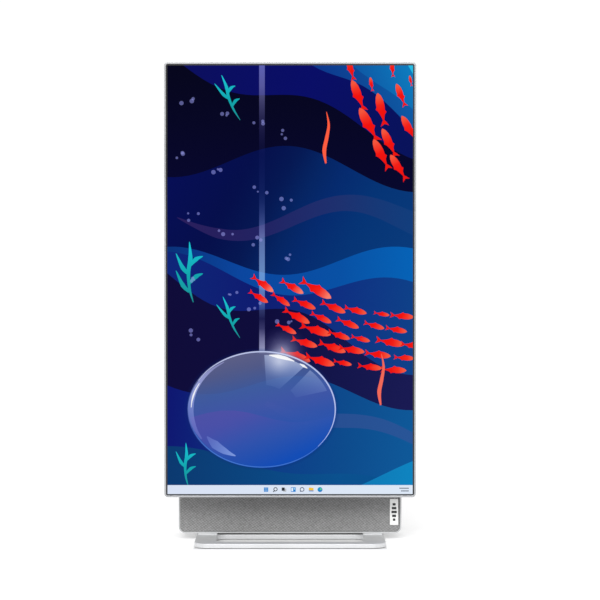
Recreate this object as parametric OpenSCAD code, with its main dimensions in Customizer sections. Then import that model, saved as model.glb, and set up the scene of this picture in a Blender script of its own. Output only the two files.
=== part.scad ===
// Pivoting desktop display on a fabric-fronted base unit with an open aluminium foot.
// Millimetres. +Z is up, the viewer is at -Y, and the origin is the centre of the footprint on the table.
// It is drawn stood on end, with the picture upright and the long side vertical.

/* [Screen head] */
// Long side of the head, vertical as drawn
screen_long = 612.5; // [520:0.5:740]
// Short side of the head, across as drawn
screen_short = 354.7; // [300:0.1:430]
// Outer corner radius of the head
screen_corner = 5.2; // [3:0.1:12]
// Wall of the metal rim, seen from the front
rim_wall = 2.5; // [1.5:0.1:4]
// Black border between the rim and the picture
border_width = 2.1; // [1:0.1:12]
// Thickness of the liquid-crystal cell
cell_thick = 1.3; // [0.8:0.1:1.6]
// Thickness of the light guide
guide_thick = 2.2; // [1.5:0.1:3]
// Wall of the rear cover
cover_wall = 1.6; // [1:0.1:2.4]
// How far the middle of the rear cover stands behind its edge
bulge_depth = 10.5; // [8:0.5:20]
// Width of that raised middle
bulge_wide = 190; // [160:1:230]
// Height of that raised middle
bulge_tall = 340; // [240:1:380]

/* [Pivot and tilt] */
// Radius of the pivot shaft that the head turns on
pivot_radius = 14; // [11:0.5:16]
// Radius of the pivot shaft's cable bore
pivot_bore = 9; // [6:0.5:10]
// Radius of the round plate on the back of the head
rotor_radius = 50; // [44:1:60]
// Distance from the rear cover to the tilt axis
hinge_reach = 35; // [32:0.5:45]
// Radius of the two tilt pins
tilt_pin_radius = 5; // [4:0.1:6]
// Radial play of each shaft in its bore
running_gap = 0.05; // [0.02:0.01:0.1]
// Furthest forward tilt, in degrees
tilt_forward = 5; // [0:0.5:6]
// Free height under a corner of the head while it turns
swing_gap = 11; // [6:0.5:40]

/* [Base unit] */
// Width of the base unit
box_wide = 318.6; // [270:0.2:380]
// Height of the base unit
box_tall = 163; // [140:1:190]
// Front-to-back depth of the base unit
box_depth = 84; // [80:0.5:89]
// Corner radius of the base unit, seen from the front
box_corner = 9; // [6:0.5:14]
// Wall of the base unit's shell
box_wall = 2; // [1.5:0.1:3]
// Thickness of the padded fabric front
fabric_thick = 2.4; // [1.5:0.1:4]
// Gap between the fabric and the head, tilted fully forward
head_gap = 5.2; // [3:0.1:10]
// Width of the small plate on the fabric
badge_wide = 12; // [8:0.5:16]
// Height of that plate
badge_tall = 37; // [25:0.5:45]
// Radius of each speaker's flange
speaker_radius = 30; // [24:0.5:33]
// Radius of the blower's rotor
rotor_fan_radius = 31; // [24:0.5:32]
// Radius of the headphone socket's bore
jack_radius = 1.8; // [1.75:0.01:1.9]
// Depth of the headphone socket's bore
jack_depth = 14; // [12:0.5:16]

/* [Neck and foot] */
// Width of the neck's metal core
core_wide = 78; // [70:1:90]
// Thickness of the neck's metal core
core_thick = 12; // [8:0.5:14]
// Width of the foot
foot_wide = 267; // [230:1:310]
// Front-to-back depth of the foot
foot_depth = 242; // [236:1:300]
// Thickness of the foot plate
foot_thick = 6.2; // [5:0.1:8]
// Corner radius of the foot
foot_corner = 20; // [10:1:35]
// Width of the rails round the foot's openings
rail_wide = 29.5; // [24:0.5:34]
// Front-to-back width of the foot's front and rear rails
rail_deep = 20.5; // [16:0.5:24]
// Corner radius of the openings in the foot
opening_corner = 15; // [8:0.5:16]
// How far the glass stands behind the foot's front edge
toe = 50; // [42:1:54]
// Height of the lands that carry the base unit
land_tall = 2; // [1:0.1:3]
// How far the plate stands off the table on its pads
pad_proud = 0.8; // [0.5:0.1:2]

/* [Hidden] */
$fn = 64;

cell_inset = 0.3;      // glass behind the rim's front edge
fit_gap = 0.2;         // play round a part laid in a tray
film_thick = 0.6;
reflector_thick = 0.3;
tray_thick = 0.8;
flange_thick = 2;      // the rim's inner flange
washer_thick = 1;
stop_radius = 2;       // pin that ends the pivot's quarter turn
thin_gap = 0.3;        // air between curved faces that move past each other
board_thick = 1.6;

// Heights
foot_base = pad_proud;
foot_top = foot_base + foot_thick;
land_top = foot_top + land_tall;
half_long = screen_long / 2;
half_short = screen_short / 2;
swing_radius = sqrt(half_long * half_long + half_short * half_short);
pivot_z = round(10 * (foot_top + swing_gap + swing_radius)) / 10;
box_base = land_top;
box_top = box_base + box_tall;
box_mid = (box_base + box_top) / 2;

// Depths, front to back
foot_front = -foot_depth / 2;
foot_back = foot_depth / 2;
rim_front = foot_front + toe;
cell_front = rim_front + cell_inset;
cell_back = cell_front + cell_thick;
film_back = cell_back + film_thick;
guide_back = film_back + guide_thick;
reflector_back = guide_back + reflector_thick;
tray_back = reflector_back + tray_thick;
rim_back = tray_back + flange_thick;
cover_edge_back = rim_back + 3;
bulge_back = rim_back + bulge_depth;
bulge_inner = bulge_back - cover_wall;
tilt_y = bulge_back + hinge_reach;
box_front = round(10 * (rim_back + swing_radius * sin(tilt_forward) + head_gap)) / 10;
box_back = box_front + box_depth;
back_panel_thick = 4;
back_panel_front = box_back - back_panel_thick;

// Pivot stack, front to back
nut_thick = 3.2;
nut_across = 20;
hub_flange_thick = 4;
hub_flange_radius = 34;
hub_front = bulge_inner - hub_flange_thick - 0.6;
hub_back_of_flange = hub_front + hub_flange_thick;
front_washer_front = hub_front - 0.8;
nut_front = front_washer_front - nut_thick;
hinge_plate_thick = 2.5;
hinge_plate_front = hub_front - hinge_plate_thick;
hub_radius = pivot_radius + 5;
rotor_front = bulge_back + 0.4;
rotor_back = rotor_front + 5.6;
shaft_flange_front = rotor_back + washer_thick;
shaft_flange_back = shaft_flange_front + 4;
bracket_plate_back = shaft_flange_back + 3.5;
stop_track = (hub_radius + rotor_radius) / 2 - 5;   // radius that the stop pin runs at
shaft_flange_radius = stop_track + stop_radius + 3;
bracket_radius = shaft_flange_radius + 4;
pivot_cover_radius = rotor_radius - 4;

// Tilt hinge, across
ear_radius = tilt_pin_radius + 6;
ear_inner = 24;
ear_outer = 30;
cheek_inner = ear_outer + washer_thick;
cheek_outer = core_wide / 2;
cheek_radius = tilt_pin_radius + 7;

// Neck
core_front = tilt_y + 21;
core_back = core_front + core_thick;
core_top = pivot_z + cheek_radius;
sleeve_wall = 2;
sleeve_front = core_front - 5;
sleeve_back = core_back + 11;
sleeve_wide = core_wide + 6;
sleeve_split = core_front + 6;
sleeve_front_top = pivot_z - 26;
hood_top = pivot_z + cheek_radius + 8;
base_flange_wide = 120;
base_flange_thick = 6;
base_flange_bottom = box_base + box_wall;
base_flange_front = box_front + 14;
board_front = core_back + 8;
board_back = board_front + board_thick;
base_flange_back = board_front - 2;
cable_thick = 0.8;
cable_wide = 24;

// Base unit
ledge = 4;
carrier_thick = 2;
fabric_front = box_front;
shell_front = box_front + 1;
fabric_back = fabric_front + fabric_thick;
carrier_back = fabric_back + carrier_thick;
ledge_back = carrier_back + 2;
inner_half = box_wide / 2 - box_wall;
enclosure_front = ledge_back + 0.6;
enclosure_wide = 2 * speaker_radius + 9;
enclosure_tall = 130;
enclosure_x = inner_half - 0.4 - enclosure_wide / 2;
enclosure_wall = 2;
enclosure_back = board_front - 4;
driver_z = box_base + 52;
blower_size = 2 * rotor_fan_radius + 16;
blower_front = board_back + 1.4;
blower_depth = back_panel_front - blower_front - 7;
blower_back = blower_front + blower_depth;
blower_x = -inner_half + blower_size / 2 + 16;
blower_z = box_top - box_wall - blower_size / 2 - 8;
fins_wide = 14;
fins_x = blower_x + blower_size / 2 + fins_wide / 2;
fan_front = blower_front + 2.5;
fan_back = blower_back - 4;
cpu_x = 18;
port_shelf_z = box_base + 18;   // top of the small board under the rear connectors
port_depth = 16;
button_y = board_back + 13;
button_z = box_base + 34;
side_port_y = board_back + 6;
jack_z = box_base + 30;
type_c_z = box_base + 46;
badge_x = box_wide / 2 - 4.6 - badge_wide / 2;
badge_z = box_base + 12 + badge_tall / 2;

// Foot
opening_wide = foot_wide - 2 * rail_wide;
front_opening_front = foot_front + rail_deep;
front_opening_back = box_front - 1;
rear_opening_front = box_back + 6;
rear_opening_back = foot_back - rail_deep;
pad_groove = 1.2;

// ---------- shared shapes ----------

// Flat rectangle with round corners, centred
module round_rect(wide, tall, radius) {
    square([wide - 2 * radius, tall], center = true);
    square([wide, tall - 2 * radius], center = true);
    for (sx = [-1, 1], sy = [-1, 1])
        translate([sx * (wide / 2 - radius), sy * (tall / 2 - radius)]) circle(radius);
}

// An outline drawn in X and Z, standing from y_front to y_back
module upright(y_front, y_back, z = 0, x = 0) {
    translate([x, y_back, z]) rotate([90, 0, 0]) linear_extrude(y_back - y_front) children();
}

// Round bar along Y
module bar_y(radius, y_front, y_back, x, z) {
    translate([x, y_back, z]) rotate([90, 0, 0]) cylinder(r = radius, h = y_back - y_front);
}

// Round bar along X
module bar_x(radius, x_low, x_high, y, z) {
    translate([x_low, y, z]) rotate([0, 90, 0]) cylinder(r = radius, h = x_high - x_low);
}

// Box given by its low and high corners
module block(low, high) {
    translate(low) cube(high - low);
}

// Rectangular slab that stands in the head, inset by the given gap from the head's outline
module head_slab(inset, radius, y_front, y_back) {
    upright(y_front, y_back, pivot_z)
        round_rect(screen_short - 2 * inset, screen_long - 2 * inset, radius);
}

// Both places of a pair mirrored left and right
module left_and_right() {
    for (side = [0, 1]) mirror([side, 0, 0]) children();
}

// ---------- screen head ----------

// Metal rim: an outer wall with an inner flange behind the panel tray
module screen_rim() {
    color("silver") difference() {
        head_slab(0, screen_corner, rim_front, rim_back);
        head_slab(rim_wall, screen_corner - rim_wall, rim_front - 1, rim_back - flange_thick);
        head_slab(rim_wall + 6, 2, rim_back - flange_thick - 1, rim_back + 1);
    }
}

tray_inset = rim_wall + fit_gap;
tray_radius = 2.2;

// Glass sandwich that makes the picture
module lcd_cell() {
    color("black") head_slab(tray_inset, tray_radius, cell_front, cell_back);
}

// Thin black border on the glass
module border_frame() {
    color([0.05, 0.05, 0.06]) difference() {
        head_slab(tray_inset, tray_radius, cell_front - 0.2, cell_front);
        head_slab(rim_wall + border_width, 1.2, cell_front - 1, cell_front + 1);
    }
}

stack_inset = tray_inset + tray_thick + fit_gap;
led_bar_wide = 5;

// Diffuser and prism films
module optical_films() {
    color("whitesmoke") head_slab(stack_inset, 1, cell_back, film_back);
}

// Clear sheet that spreads the light of the LED bar
module light_guide() {
    color([0.85, 0.92, 0.95, 0.6]) difference() {
        head_slab(stack_inset, 1, film_back, guide_back);
        block([half_short - stack_inset - led_bar_wide, film_back - 1, 0],
              [half_short, guide_back + 1, 2 * pivot_z]);
    }
}

// Strip of LEDs along one long side
module led_bar() {
    led_count = 36;
    pitch = (screen_long - 60) / (led_count - 1);
    strip_x = half_short - stack_inset;
    color("gold") union() {
        block([strip_x - 1, film_back, pivot_z - half_long + 20],
              [strip_x, guide_back, pivot_z + half_long - 20]);
        for (i = [0 : led_count - 1])
            translate([strip_x - 3.4, film_back, pivot_z - half_long + 28 + i * pitch])
                cube([2.4, guide_thick, 4]);
    }
}

// White sheet behind the light guide
module reflector_sheet() {
    color("white") head_slab(stack_inset, 1, guide_back, reflector_back);
}

// Pressed steel tray that holds the glass and the sheets
module panel_tray() {
    color("gainsboro") difference() {
        head_slab(tray_inset, tray_radius, cell_back, tray_back);
        head_slab(tray_inset + tray_thick, 1.2, cell_back - 1, reflector_back);
    }
}

timing_z = pivot_z - hub_flange_radius - 70;
timing_half = bulge_wide / 2 - 15;
timing_front = tray_back + 0.6;

// Circuit board that drives the panel, with its chips
module timing_board() {
    color("darkgreen") union() {
        block([-timing_half, timing_front, timing_z - 18], [timing_half, timing_front + 1.2, timing_z + 18]);
        for (part = [-0.72, -0.28, 0.28, 0.72])
            block([part * timing_half - 8, timing_front + 1.2, timing_z - 7],
                  [part * timing_half + 8, timing_front + 2.8, timing_z + 7]);
        block([-14, timing_front + 1.2, timing_z + 9], [14, timing_front + 2.8, timing_z + 16]);
        for (side = [-1, 1], z = [-14, 14])
            bar_y(2.4, tray_back, timing_front, side * (timing_half - 10), timing_z + z);
    }
}

// Flat cable from the driver board up to the mouth of the hollow pivot
module panel_cable() {
    color([0.9, 0.9, 0.85])
        block([-11, timing_front + 0.3, timing_z + 18], [11, timing_front + 0.8, pivot_z + 9]);
}

hinge_plate_half = hub_flange_radius + 30;

// Steel plate that carries the head on the pivot
module hinge_plate() {
    color("darkgray") difference() {
        union() {
            upright(hinge_plate_front, hub_front, pivot_z)
                round_rect(2 * hinge_plate_half, 2 * hinge_plate_half, 10);
            for (sx = [-1, 1], sz = [-1, 1])
                bar_y(6, tray_back, hinge_plate_front,
                      sx * (hinge_plate_half - 10), pivot_z + sz * (hinge_plate_half - 10));
        }
        bar_y(nut_across + 5, hinge_plate_front - 1, hub_front + 1, 0, pivot_z);
        hub_screw_spots() bar_y(1.5, hinge_plate_front - 1, hub_front + 1, 0, 0);
    }
}

// Places of the four screws round the hub
module hub_screw_spots() {
    for (a = [45 : 90 : 315])
        translate([cos(a) * (hub_flange_radius - 4.5), 0, pivot_z + sin(a) * (hub_flange_radius - 4.5)])
            children();
}

// Screws through the hub's flange into the hinge plate
module hinge_plate_screws() {
    color("dimgray") hub_screw_spots() union() {
        bar_y(1.45, hinge_plate_front + 0.2, hub_back_of_flange - 1.5, 0, 0);
        bar_y(2.7, hub_back_of_flange - 1.5, hub_back_of_flange, 0, 0);
    }
}

// Outside of the rear cover, made smaller all round by a wall
module rear_cover_form(wall) {
    edge = 0.3 + wall;
    hull() {
        head_slab(edge, screen_corner - 0.3, rim_back, rim_back + 1);
        head_slab(edge + 6, screen_corner, rim_back + 1, cover_edge_back - wall);
    }
    hull() {
        upright(rim_back, cover_edge_back - wall, pivot_z)
            round_rect(bulge_wide + 36 - 2 * wall, bulge_tall + 36 - 2 * wall, 34);
        upright(rim_back, bulge_back - wall, pivot_z)
            round_rect(bulge_wide - 2 * wall, bulge_tall - 2 * wall, 22);
    }
}

// Moulded rear cover with a raised middle and a hole for the pivot
module rear_cover() {
    $fn = 32;
    color("silver") difference() {
        rear_cover_form(0);
        translate([0, -0.01, 0]) rear_cover_form(cover_wall);
        bar_y(hub_radius + 1.5, bulge_inner - 1, bulge_back + 1, 0, pivot_z);
    }
}

// Hub that turns on the pivot shaft, screwed to the hinge plate
module pivot_hub() {
    color("gray") difference() {
        union() {
            bar_y(hub_flange_radius, hub_front, hub_back_of_flange, 0, pivot_z);
            bar_y(hub_radius, hub_back_of_flange, rotor_back, 0, pivot_z);
        }
        bar_y(pivot_radius + running_gap, hub_front - 1, rotor_back + 1, 0, pivot_z);
        hub_screw_spots() {
            bar_y(1.5, hub_front - 1, hub_back_of_flange, 0, 0);
            bar_y(2.8, hub_back_of_flange - 1.5, hub_back_of_flange + 1, 0, 0);
        }
    }
}

// Round plate on the back of the head, with the arc groove that the stop pin runs in
module pivot_rotor() {
    groove_half = stop_radius + 0.4;
    end_angle = asin(groove_half / stop_track);
    color("silver") difference() {
        bar_y(rotor_radius, rotor_front, rotor_back, 0, pivot_z);
        bar_y(hub_radius, rotor_front - 1, rotor_back + 1, 0, pivot_z);
        translate([0, rotor_back, pivot_z]) rotate([90, 0, 0])
            rotate([0, 0, -end_angle]) rotate_extrude(angle = 90 + 2 * end_angle)
                translate([stop_track - groove_half, -1]) square([2 * groove_half, 4]);
    }
}

// ---------- pivot and tilt hinge ----------

// Hollow shaft with a flange, fixed to the tilt bracket
module pivot_shaft() {
    color("dimgray") difference() {
        union() {
            bar_y(pivot_radius, nut_front, shaft_flange_front, 0, pivot_z);
            bar_y(shaft_flange_radius, shaft_flange_front, shaft_flange_back, 0, pivot_z);
        }
        bar_y(pivot_bore, nut_front - 1, shaft_flange_back + 1, 0, pivot_z);
        bar_y(stop_radius, shaft_flange_front - 1, shaft_flange_back + 1, 0, pivot_z + stop_track);
    }
}

// Plastic friction washers in front of and behind the hub
module pivot_washers() {
    color("ivory") for (span = [[front_washer_front, hub_front], [rotor_back, shaft_flange_front]])
        difference() {
            bar_y(hub_radius - 0.5, span[0], span[1], 0, pivot_z);
            bar_y(pivot_radius, span[0] - 1, span[1] + 1, 0, pivot_z);
        }
}

// Thin lock nut on the front end of the shaft
module pivot_nut() {
    color("gray") difference() {
        translate([0, front_washer_front, pivot_z]) rotate([90, 0, 0])
            cylinder(r = nut_across, h = nut_thick, $fn = 6);
        bar_y(pivot_radius, nut_front - 1, front_washer_front + 1, 0, pivot_z);
    }
}

// Pin that ends the turn at each end of the groove
module stop_pin() {
    color("gray") bar_y(stop_radius, rotor_back - 2.6, shaft_flange_back, 0, pivot_z + stop_track);
}

// Steel bracket: a disc behind the shaft's flange, with two ears to the tilt pins
module tilt_bracket() {
    color("darkgray") difference() {
        union() {
            bar_y(bracket_radius, shaft_flange_back, bracket_plate_back, 0, pivot_z);
            left_and_right() {
                block([ear_inner, bracket_plate_back - 1, pivot_z - ear_radius],
                      [ear_outer, tilt_y, pivot_z + ear_radius]);
                bar_x(ear_radius, ear_inner, ear_outer, tilt_y, pivot_z);
            }
        }
        bar_y(pivot_bore, shaft_flange_back - 1, bracket_plate_back + 1, 0, pivot_z);
        left_and_right()
            bar_x(tilt_pin_radius + running_gap, ear_inner - 1, ear_outer + 1, tilt_y, pivot_z);
    }
}

pivot_cover_front = rotor_back + thin_gap;
pivot_cover_back = bracket_plate_back + 7;

// Round cup that hides the bracket
module pivot_cover() {
    color("silver") difference() {
        bar_y(pivot_cover_radius, pivot_cover_front, pivot_cover_back, 0, pivot_z);
        bar_y(pivot_cover_radius - 2, pivot_cover_front - 1, shaft_flange_back, 0, pivot_z);
        bar_y(bracket_radius + 0.1, pivot_cover_front - 1, pivot_cover_back, 0, pivot_z);
        bar_y(pivot_cover_radius - 2, bracket_plate_back - 1, pivot_cover_back + 1, 0, pivot_z);
    }
}

// Sleeved cable bundle through the hollow shaft
module hinge_cable() {
    color([0.1, 0.1, 0.1])
        bar_y(pivot_bore - 0.5, nut_front + 0.1, tilt_y + 2, 0, pivot_z);
}

// Half tube over the top of the hinge, between the ears
module barrel_cover() {
    color("gray") difference() {
        bar_x(ear_radius + 1.5, thin_gap - ear_inner, ear_inner - thin_gap, tilt_y, pivot_z);
        bar_x(ear_radius, -ear_inner, ear_inner, tilt_y, pivot_z);
        block([-ear_inner, tilt_y - 2 * ear_radius, pivot_z - 2 * ear_radius],
              [ear_inner, tilt_y + 2 * ear_radius, pivot_z - 2]);
        block([-ear_inner, tilt_y - 2 * ear_radius, pivot_z - 2 * ear_radius],
              [ear_inner, tilt_y - 6, pivot_z + 2 * ear_radius]);
    }
    color("gray") left_and_right()
        block([ear_inner - 3, tilt_y - 5, pivot_z + ear_radius - 3],
              [ear_inner, tilt_y + 5, pivot_z + ear_radius - 0.4]);
}

// Steel pins that the head tilts on
module tilt_pins() {
    color("silver") left_and_right() union() {
        bar_x(tilt_pin_radius + 2.5, ear_inner - 2, ear_inner, tilt_y, pivot_z);
        bar_x(tilt_pin_radius, ear_inner, cheek_outer + 4, tilt_y, pivot_z);
    }
}

// Friction washers between the ears and the cheeks
module tilt_washers() {
    color("ivory") left_and_right() difference() {
        bar_x(ear_radius - 1, ear_outer, cheek_inner, tilt_y, pivot_z);
        bar_x(tilt_pin_radius, ear_outer - 1, cheek_inner + 1, tilt_y, pivot_z);
    }
}

// Nuts under round caps on the outer ends of the pins
module tilt_nuts() {
    color("silver") left_and_right() difference() {
        bar_x(cheek_radius - 2, cheek_outer, cheek_outer + 5, tilt_y, pivot_z);
        bar_x(tilt_pin_radius, cheek_outer - 1, cheek_outer + 4, tilt_y, pivot_z);
    }
}

// ---------- neck ----------

flange_screw_spots = [for (sx = [-1, 1], y = [base_flange_front + 8, base_flange_back - 8])
    [sx * (base_flange_wide / 2 - 12), y]];

// Aluminium core: a flange inside the base unit, a bar and two cheeks for the tilt pins
module neck_core() {
    window = cable_wide / 2 + 3;
    color("silver") difference() {
        union() {
            block([-base_flange_wide / 2, base_flange_front, base_flange_bottom],
                  [base_flange_wide / 2, base_flange_back, base_flange_bottom + base_flange_thick]);
            block([-core_wide / 2, core_front, base_flange_bottom], [core_wide / 2, core_back, core_top]);
            left_and_right() {
                block([cheek_inner, tilt_y, pivot_z - cheek_radius],
                      [cheek_outer, core_front + 1, pivot_z + cheek_radius]);
                bar_x(cheek_radius, cheek_inner, cheek_outer, tilt_y, pivot_z);
            }
        }
        left_and_right() bar_x(tilt_pin_radius, cheek_inner - 1, cheek_outer + 1, tilt_y, pivot_z);
        block([-window, core_front - 1, pivot_z - 9], [window, core_back + 1, pivot_z + 5]);
        for (spot = flange_screw_spots)
            translate([spot[0], spot[1], base_flange_bottom - 1])
                cylinder(r = 2.5, h = base_flange_thick - 1);
    }
}

// Outline of the neck's sleeve seen from above
module sleeve_outline(wall) {
    translate([0, (sleeve_front + sleeve_back) / 2])
        round_rect(sleeve_wide - 2 * wall, sleeve_back - sleeve_front - 2 * wall, 7 - wall);
}

// Front half of the sleeve round the neck
module neck_front_cover() {
    height = sleeve_front_top - box_top;
    color("silver") difference() {
        translate([0, 0, box_top]) linear_extrude(height) sleeve_outline(0);
        translate([0, 0, box_top - 1]) linear_extrude(height + 2) sleeve_outline(sleeve_wall);
        block([-sleeve_wide, sleeve_split, box_top - 1], [sleeve_wide, sleeve_back + 1, pivot_z]);
    }
    color("silver") block([-core_wide / 2, sleeve_front + 1, sleeve_front_top - 2],
                          [core_wide / 2, core_front, sleeve_front_top]);
}

// Rear half of the sleeve, carried up over the hinge as a hood
module neck_rear_cover() {
    height = hood_top - box_top;
    color("silver") difference() {
        translate([0, 0, box_top]) linear_extrude(height) sleeve_outline(0);
        translate([0, 0, box_top - 1]) linear_extrude(height + 1 - sleeve_wall) sleeve_outline(sleeve_wall);
        block([-sleeve_wide, sleeve_front - 1, box_top - 1], [sleeve_wide, sleeve_split, hood_top + 1]);
    }
}

// Flat cable from the mainboard up the back of the neck to the hinge
module neck_cable() {
    color([0.9, 0.9, 0.85]) union() {
        block([-cable_wide / 2, core_back + 0.3, box_base + 120],
              [cable_wide / 2, core_back + 0.3 + cable_thick, pivot_z - 2]);
        block([-cable_wide / 2, core_back + 0.3, box_base + 120],
              [cable_wide / 2, board_front, box_base + 120 + cable_thick]);
        block([-cable_wide / 2, tilt_y + ear_radius + 3, pivot_z - 2 - cable_thick],
              [cable_wide / 2, core_back + 0.3 + cable_thick, pivot_z - 2]);
    }
}

// ---------- base unit ----------

// Outline of the base unit seen from the front, made smaller all round
module box_outline(inset) {
    round_rect(box_wide - 2 * inset, box_tall - 2 * inset, box_corner - inset);
}

// Sleeve-shaped shell with a ledge for the front, and cut-outs for the neck, button and side ports
module box_shell() {
    color("gainsboro") difference() {
        upright(shell_front, back_panel_front, box_mid) box_outline(0);
        upright(shell_front - 1, carrier_back, box_mid) box_outline(box_wall);
        upright(carrier_back - 1, back_panel_front + 1, box_mid) box_outline(box_wall + ledge);
        upright(ledge_back, back_panel_front + 1, box_mid) box_outline(box_wall);
        block([-core_wide / 2 - 0.4, core_front - 0.4, box_top - 5],
              [core_wide / 2 + 0.4, board_front, box_top + 1]);
        for (spot = flange_screw_spots)
            translate([spot[0], spot[1], box_base - 1]) cylinder(r = 2.5, h = box_wall + 2);
        bar_x(5 + thin_gap, inner_half - 1, inner_half + box_wall + 1, button_y, button_z);
        bar_x(4, -inner_half - box_wall - 1, 1 - inner_half, side_port_y, jack_z);
        translate([-inner_half - box_wall / 2, side_port_y, type_c_z])
            cube([2 * box_wall, 4, 10], center = true);
    }
}

// Slotted plastic panel that the fabric is stretched on
module grille_carrier() {
    slot_pitch = 9;
    color("black") difference() {
        upright(fabric_back, carrier_back, box_mid) box_outline(box_wall + fit_gap);
        for (side = [-1, 1], i = [-4 : 4])
            translate([side * enclosure_x, fabric_back, box_mid + i * slot_pitch])
                cube([2 * speaker_radius - 8, 3 * carrier_thick, 4], center = true);
    }
}

// Padded front panel covered in woven fabric
module fabric_front() {
    color("gray") difference() {
        upright(fabric_front, fabric_back, box_mid) box_outline(box_wall + fit_gap);
        block([badge_x - badge_wide / 2, fabric_front - 1, badge_z - badge_tall / 2],
              [badge_x + badge_wide / 2, fabric_front + 0.8, badge_z + badge_tall / 2]);
    }
}

// Small blank metal plate let into the fabric
module badge() {
    color("white") upright(fabric_front - 0.4, fabric_front + 0.8, badge_z, badge_x)
        square([badge_wide, badge_tall], center = true);
}

// Rear connectors: place across, width and height of a power inlet, two video sockets,
// a network socket, three USB-A sockets and a USB-C socket
port_list = [[-96, 12, 6], [-72, 15.5, 6], [-50, 15.5, 6], [-25, 16.5, 14],
             [2, 14, 6.8], [22, 14, 6.8], [42, 14, 6.8], [60, 9.4, 3.8]];

// Rear panel with cooling slots, port openings and posts for the mainboard
module back_panel() {
    slot_tall = 46;
    slots = 25;
    slot_pitch = (box_wide - 70) / (slots - 1);
    color("silver") difference() {
        union() {
            upright(back_panel_front, box_back, box_mid) box_outline(0);
            for (spot = board_posts) bar_y(3.5, board_back, back_panel_front, spot[0], spot[1]);
        }
        for (i = [0 : slots - 1])
            translate([(i - (slots - 1) / 2) * slot_pitch, box_back, box_top - 20 - slot_tall / 2])
                cube([3.2, 3 * back_panel_thick, slot_tall], center = true);
        for (port = port_list)
            translate([port[0], box_back, port_shelf_z + port[2] / 2])
                cube([port[1] + 0.4, 3 * back_panel_thick, port[2] + 0.4], center = true);
        translate([inner_half - 22, box_back, port_shelf_z + 6]) cube([7, 3, 3], center = true);
        for (spot = back_screw_spots) bar_y(2.6, box_back - 1.6, box_back + 1, spot[0], spot[1]);
    }
}

board_half = inner_half - 14;
board_low = box_base + 12;
board_high = box_top - 14;
board_posts = [[-board_half + 6, board_low + 7], [board_half - 6, board_low + 7],
               [fins_x + fins_wide / 2 + 8, board_high - 7], [board_half - 6, board_high - 7]];
back_screw_spots = [for (sx = [-1, 1], sz = [-1, 1])
    [sx * (box_wide / 2 - 9), box_mid + sz * (box_tall / 2 - 9)]];

// Sealed speaker enclosure with a round opening in front
module speaker_box(side) {
    x = side * enclosure_x;
    color("black") difference() {
        upright(enclosure_front, enclosure_back, box_mid, x) round_rect(enclosure_wide, enclosure_tall, 6);
        upright(enclosure_front + enclosure_wall, enclosure_back - enclosure_wall, box_mid, x)
            round_rect(enclosure_wide - 2 * enclosure_wall, enclosure_tall - 2 * enclosure_wall, 4);
        bar_y(speaker_radius - 3, enclosure_front - 1, enclosure_front + enclosure_wall + 1, x, driver_z);
    }
}
module speaker_box_left() { speaker_box(-1); }
module speaker_box_right() { speaker_box(1); }

flange_front = enclosure_front - 2;
cone_radius = speaker_radius - 8;
magnet_radius = speaker_radius - 12;
basket_depth = 13;
magnet_front = enclosure_front + basket_depth;

// Pressed basket: a flange, a cone-shaped frame and a rear ring
module driver_basket(side) {
    x = side * enclosure_x;
    color("dimgray") difference() {
        union() {
            bar_y(speaker_radius, flange_front, enclosure_front, x, driver_z);
            translate([x, enclosure_front, driver_z]) rotate([-90, 0, 0])
                cylinder(r1 = speaker_radius - 3.5, r2 = magnet_radius + 1, h = basket_depth);
        }
        translate([x, enclosure_front - 0.01, driver_z]) rotate([-90, 0, 0])
            cylinder(r1 = speaker_radius - 4.5, r2 = magnet_radius, h = basket_depth - 1.2);
        bar_y(speaker_radius - 4, flange_front - 1, enclosure_front, x, driver_z);
        bar_y(8, flange_front, magnet_front + 1, x, driver_z);
    }
}
module driver_basket_left() { driver_basket(-1); }
module driver_basket_right() { driver_basket(1); }

// Paper cone with a rolled rubber edge, a dust cap and a voice coil
module driver_cone(side) {
    cone_depth = 7;
    edge = speaker_radius - 4.2;
    color([0.15, 0.15, 0.17]) translate([side * enclosure_x, flange_front + 1, driver_z]) rotate([-90, 0, 0])
        rotate_extrude() union() {
            polygon([[0, cone_depth - 2], [7, cone_depth], [cone_radius, 0], [edge, 0],
                     [edge, 0.8], [cone_radius, 0.8], [7, cone_depth + 1], [0, cone_depth - 1]]);
            polygon([[6, cone_depth], [7, cone_depth], [7, cone_depth + 8], [6, cone_depth + 8]]);
            translate([(cone_radius + edge) / 2, 0.4]) intersection() {
                circle(1.5);
                translate([-2, -2]) square([4, 2]);
            }
        }
}
module driver_cone_left() { driver_cone(-1); }
module driver_cone_right() { driver_cone(1); }

// Ring magnet with its pole plate
module driver_magnet(side) {
    x = side * enclosure_x;
    color("silver") difference() {
        bar_y(magnet_radius, magnet_front, magnet_front + 9, x, driver_z);
        bar_y(8, magnet_front - 1, magnet_front + 6, x, driver_z);
    }
}
module driver_magnet_left() { driver_magnet(-1); }
module driver_magnet_right() { driver_magnet(1); }

// Mainboard with its chips and connectors
module mainboard() {
    color("darkgreen") union() {
        block([-board_half, board_front, board_low], [board_half, board_back, board_high]);
        block([2 - inner_half, board_front, board_low], [1 - board_half, board_back, type_c_z + 9]);
        block([cpu_x - 18, board_back, blower_z - 18], [cpu_x + 18, board_back + 1.4, blower_z + 18]);
        for (i = [0 : 3])
            block([cpu_x - 50 + i * 17, board_back, board_low + 42],
                  [cpu_x - 39 + i * 17, board_back + 4, board_low + 50]);
    }
}

// Memory modules and the solid-state drive on the mainboard
module memory_and_drive() {
    color("seagreen") for (z = [0, 34])
        block([board_half - 84, board_back, board_high - 38 - z],
              [board_half - 14, board_back + 3.8, board_high - 10 - z]);
    color("black") block([board_half - 94, board_back, board_low + 38],
                         [board_half - 14, board_back + 3.2, board_low + 60]);
}

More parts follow.
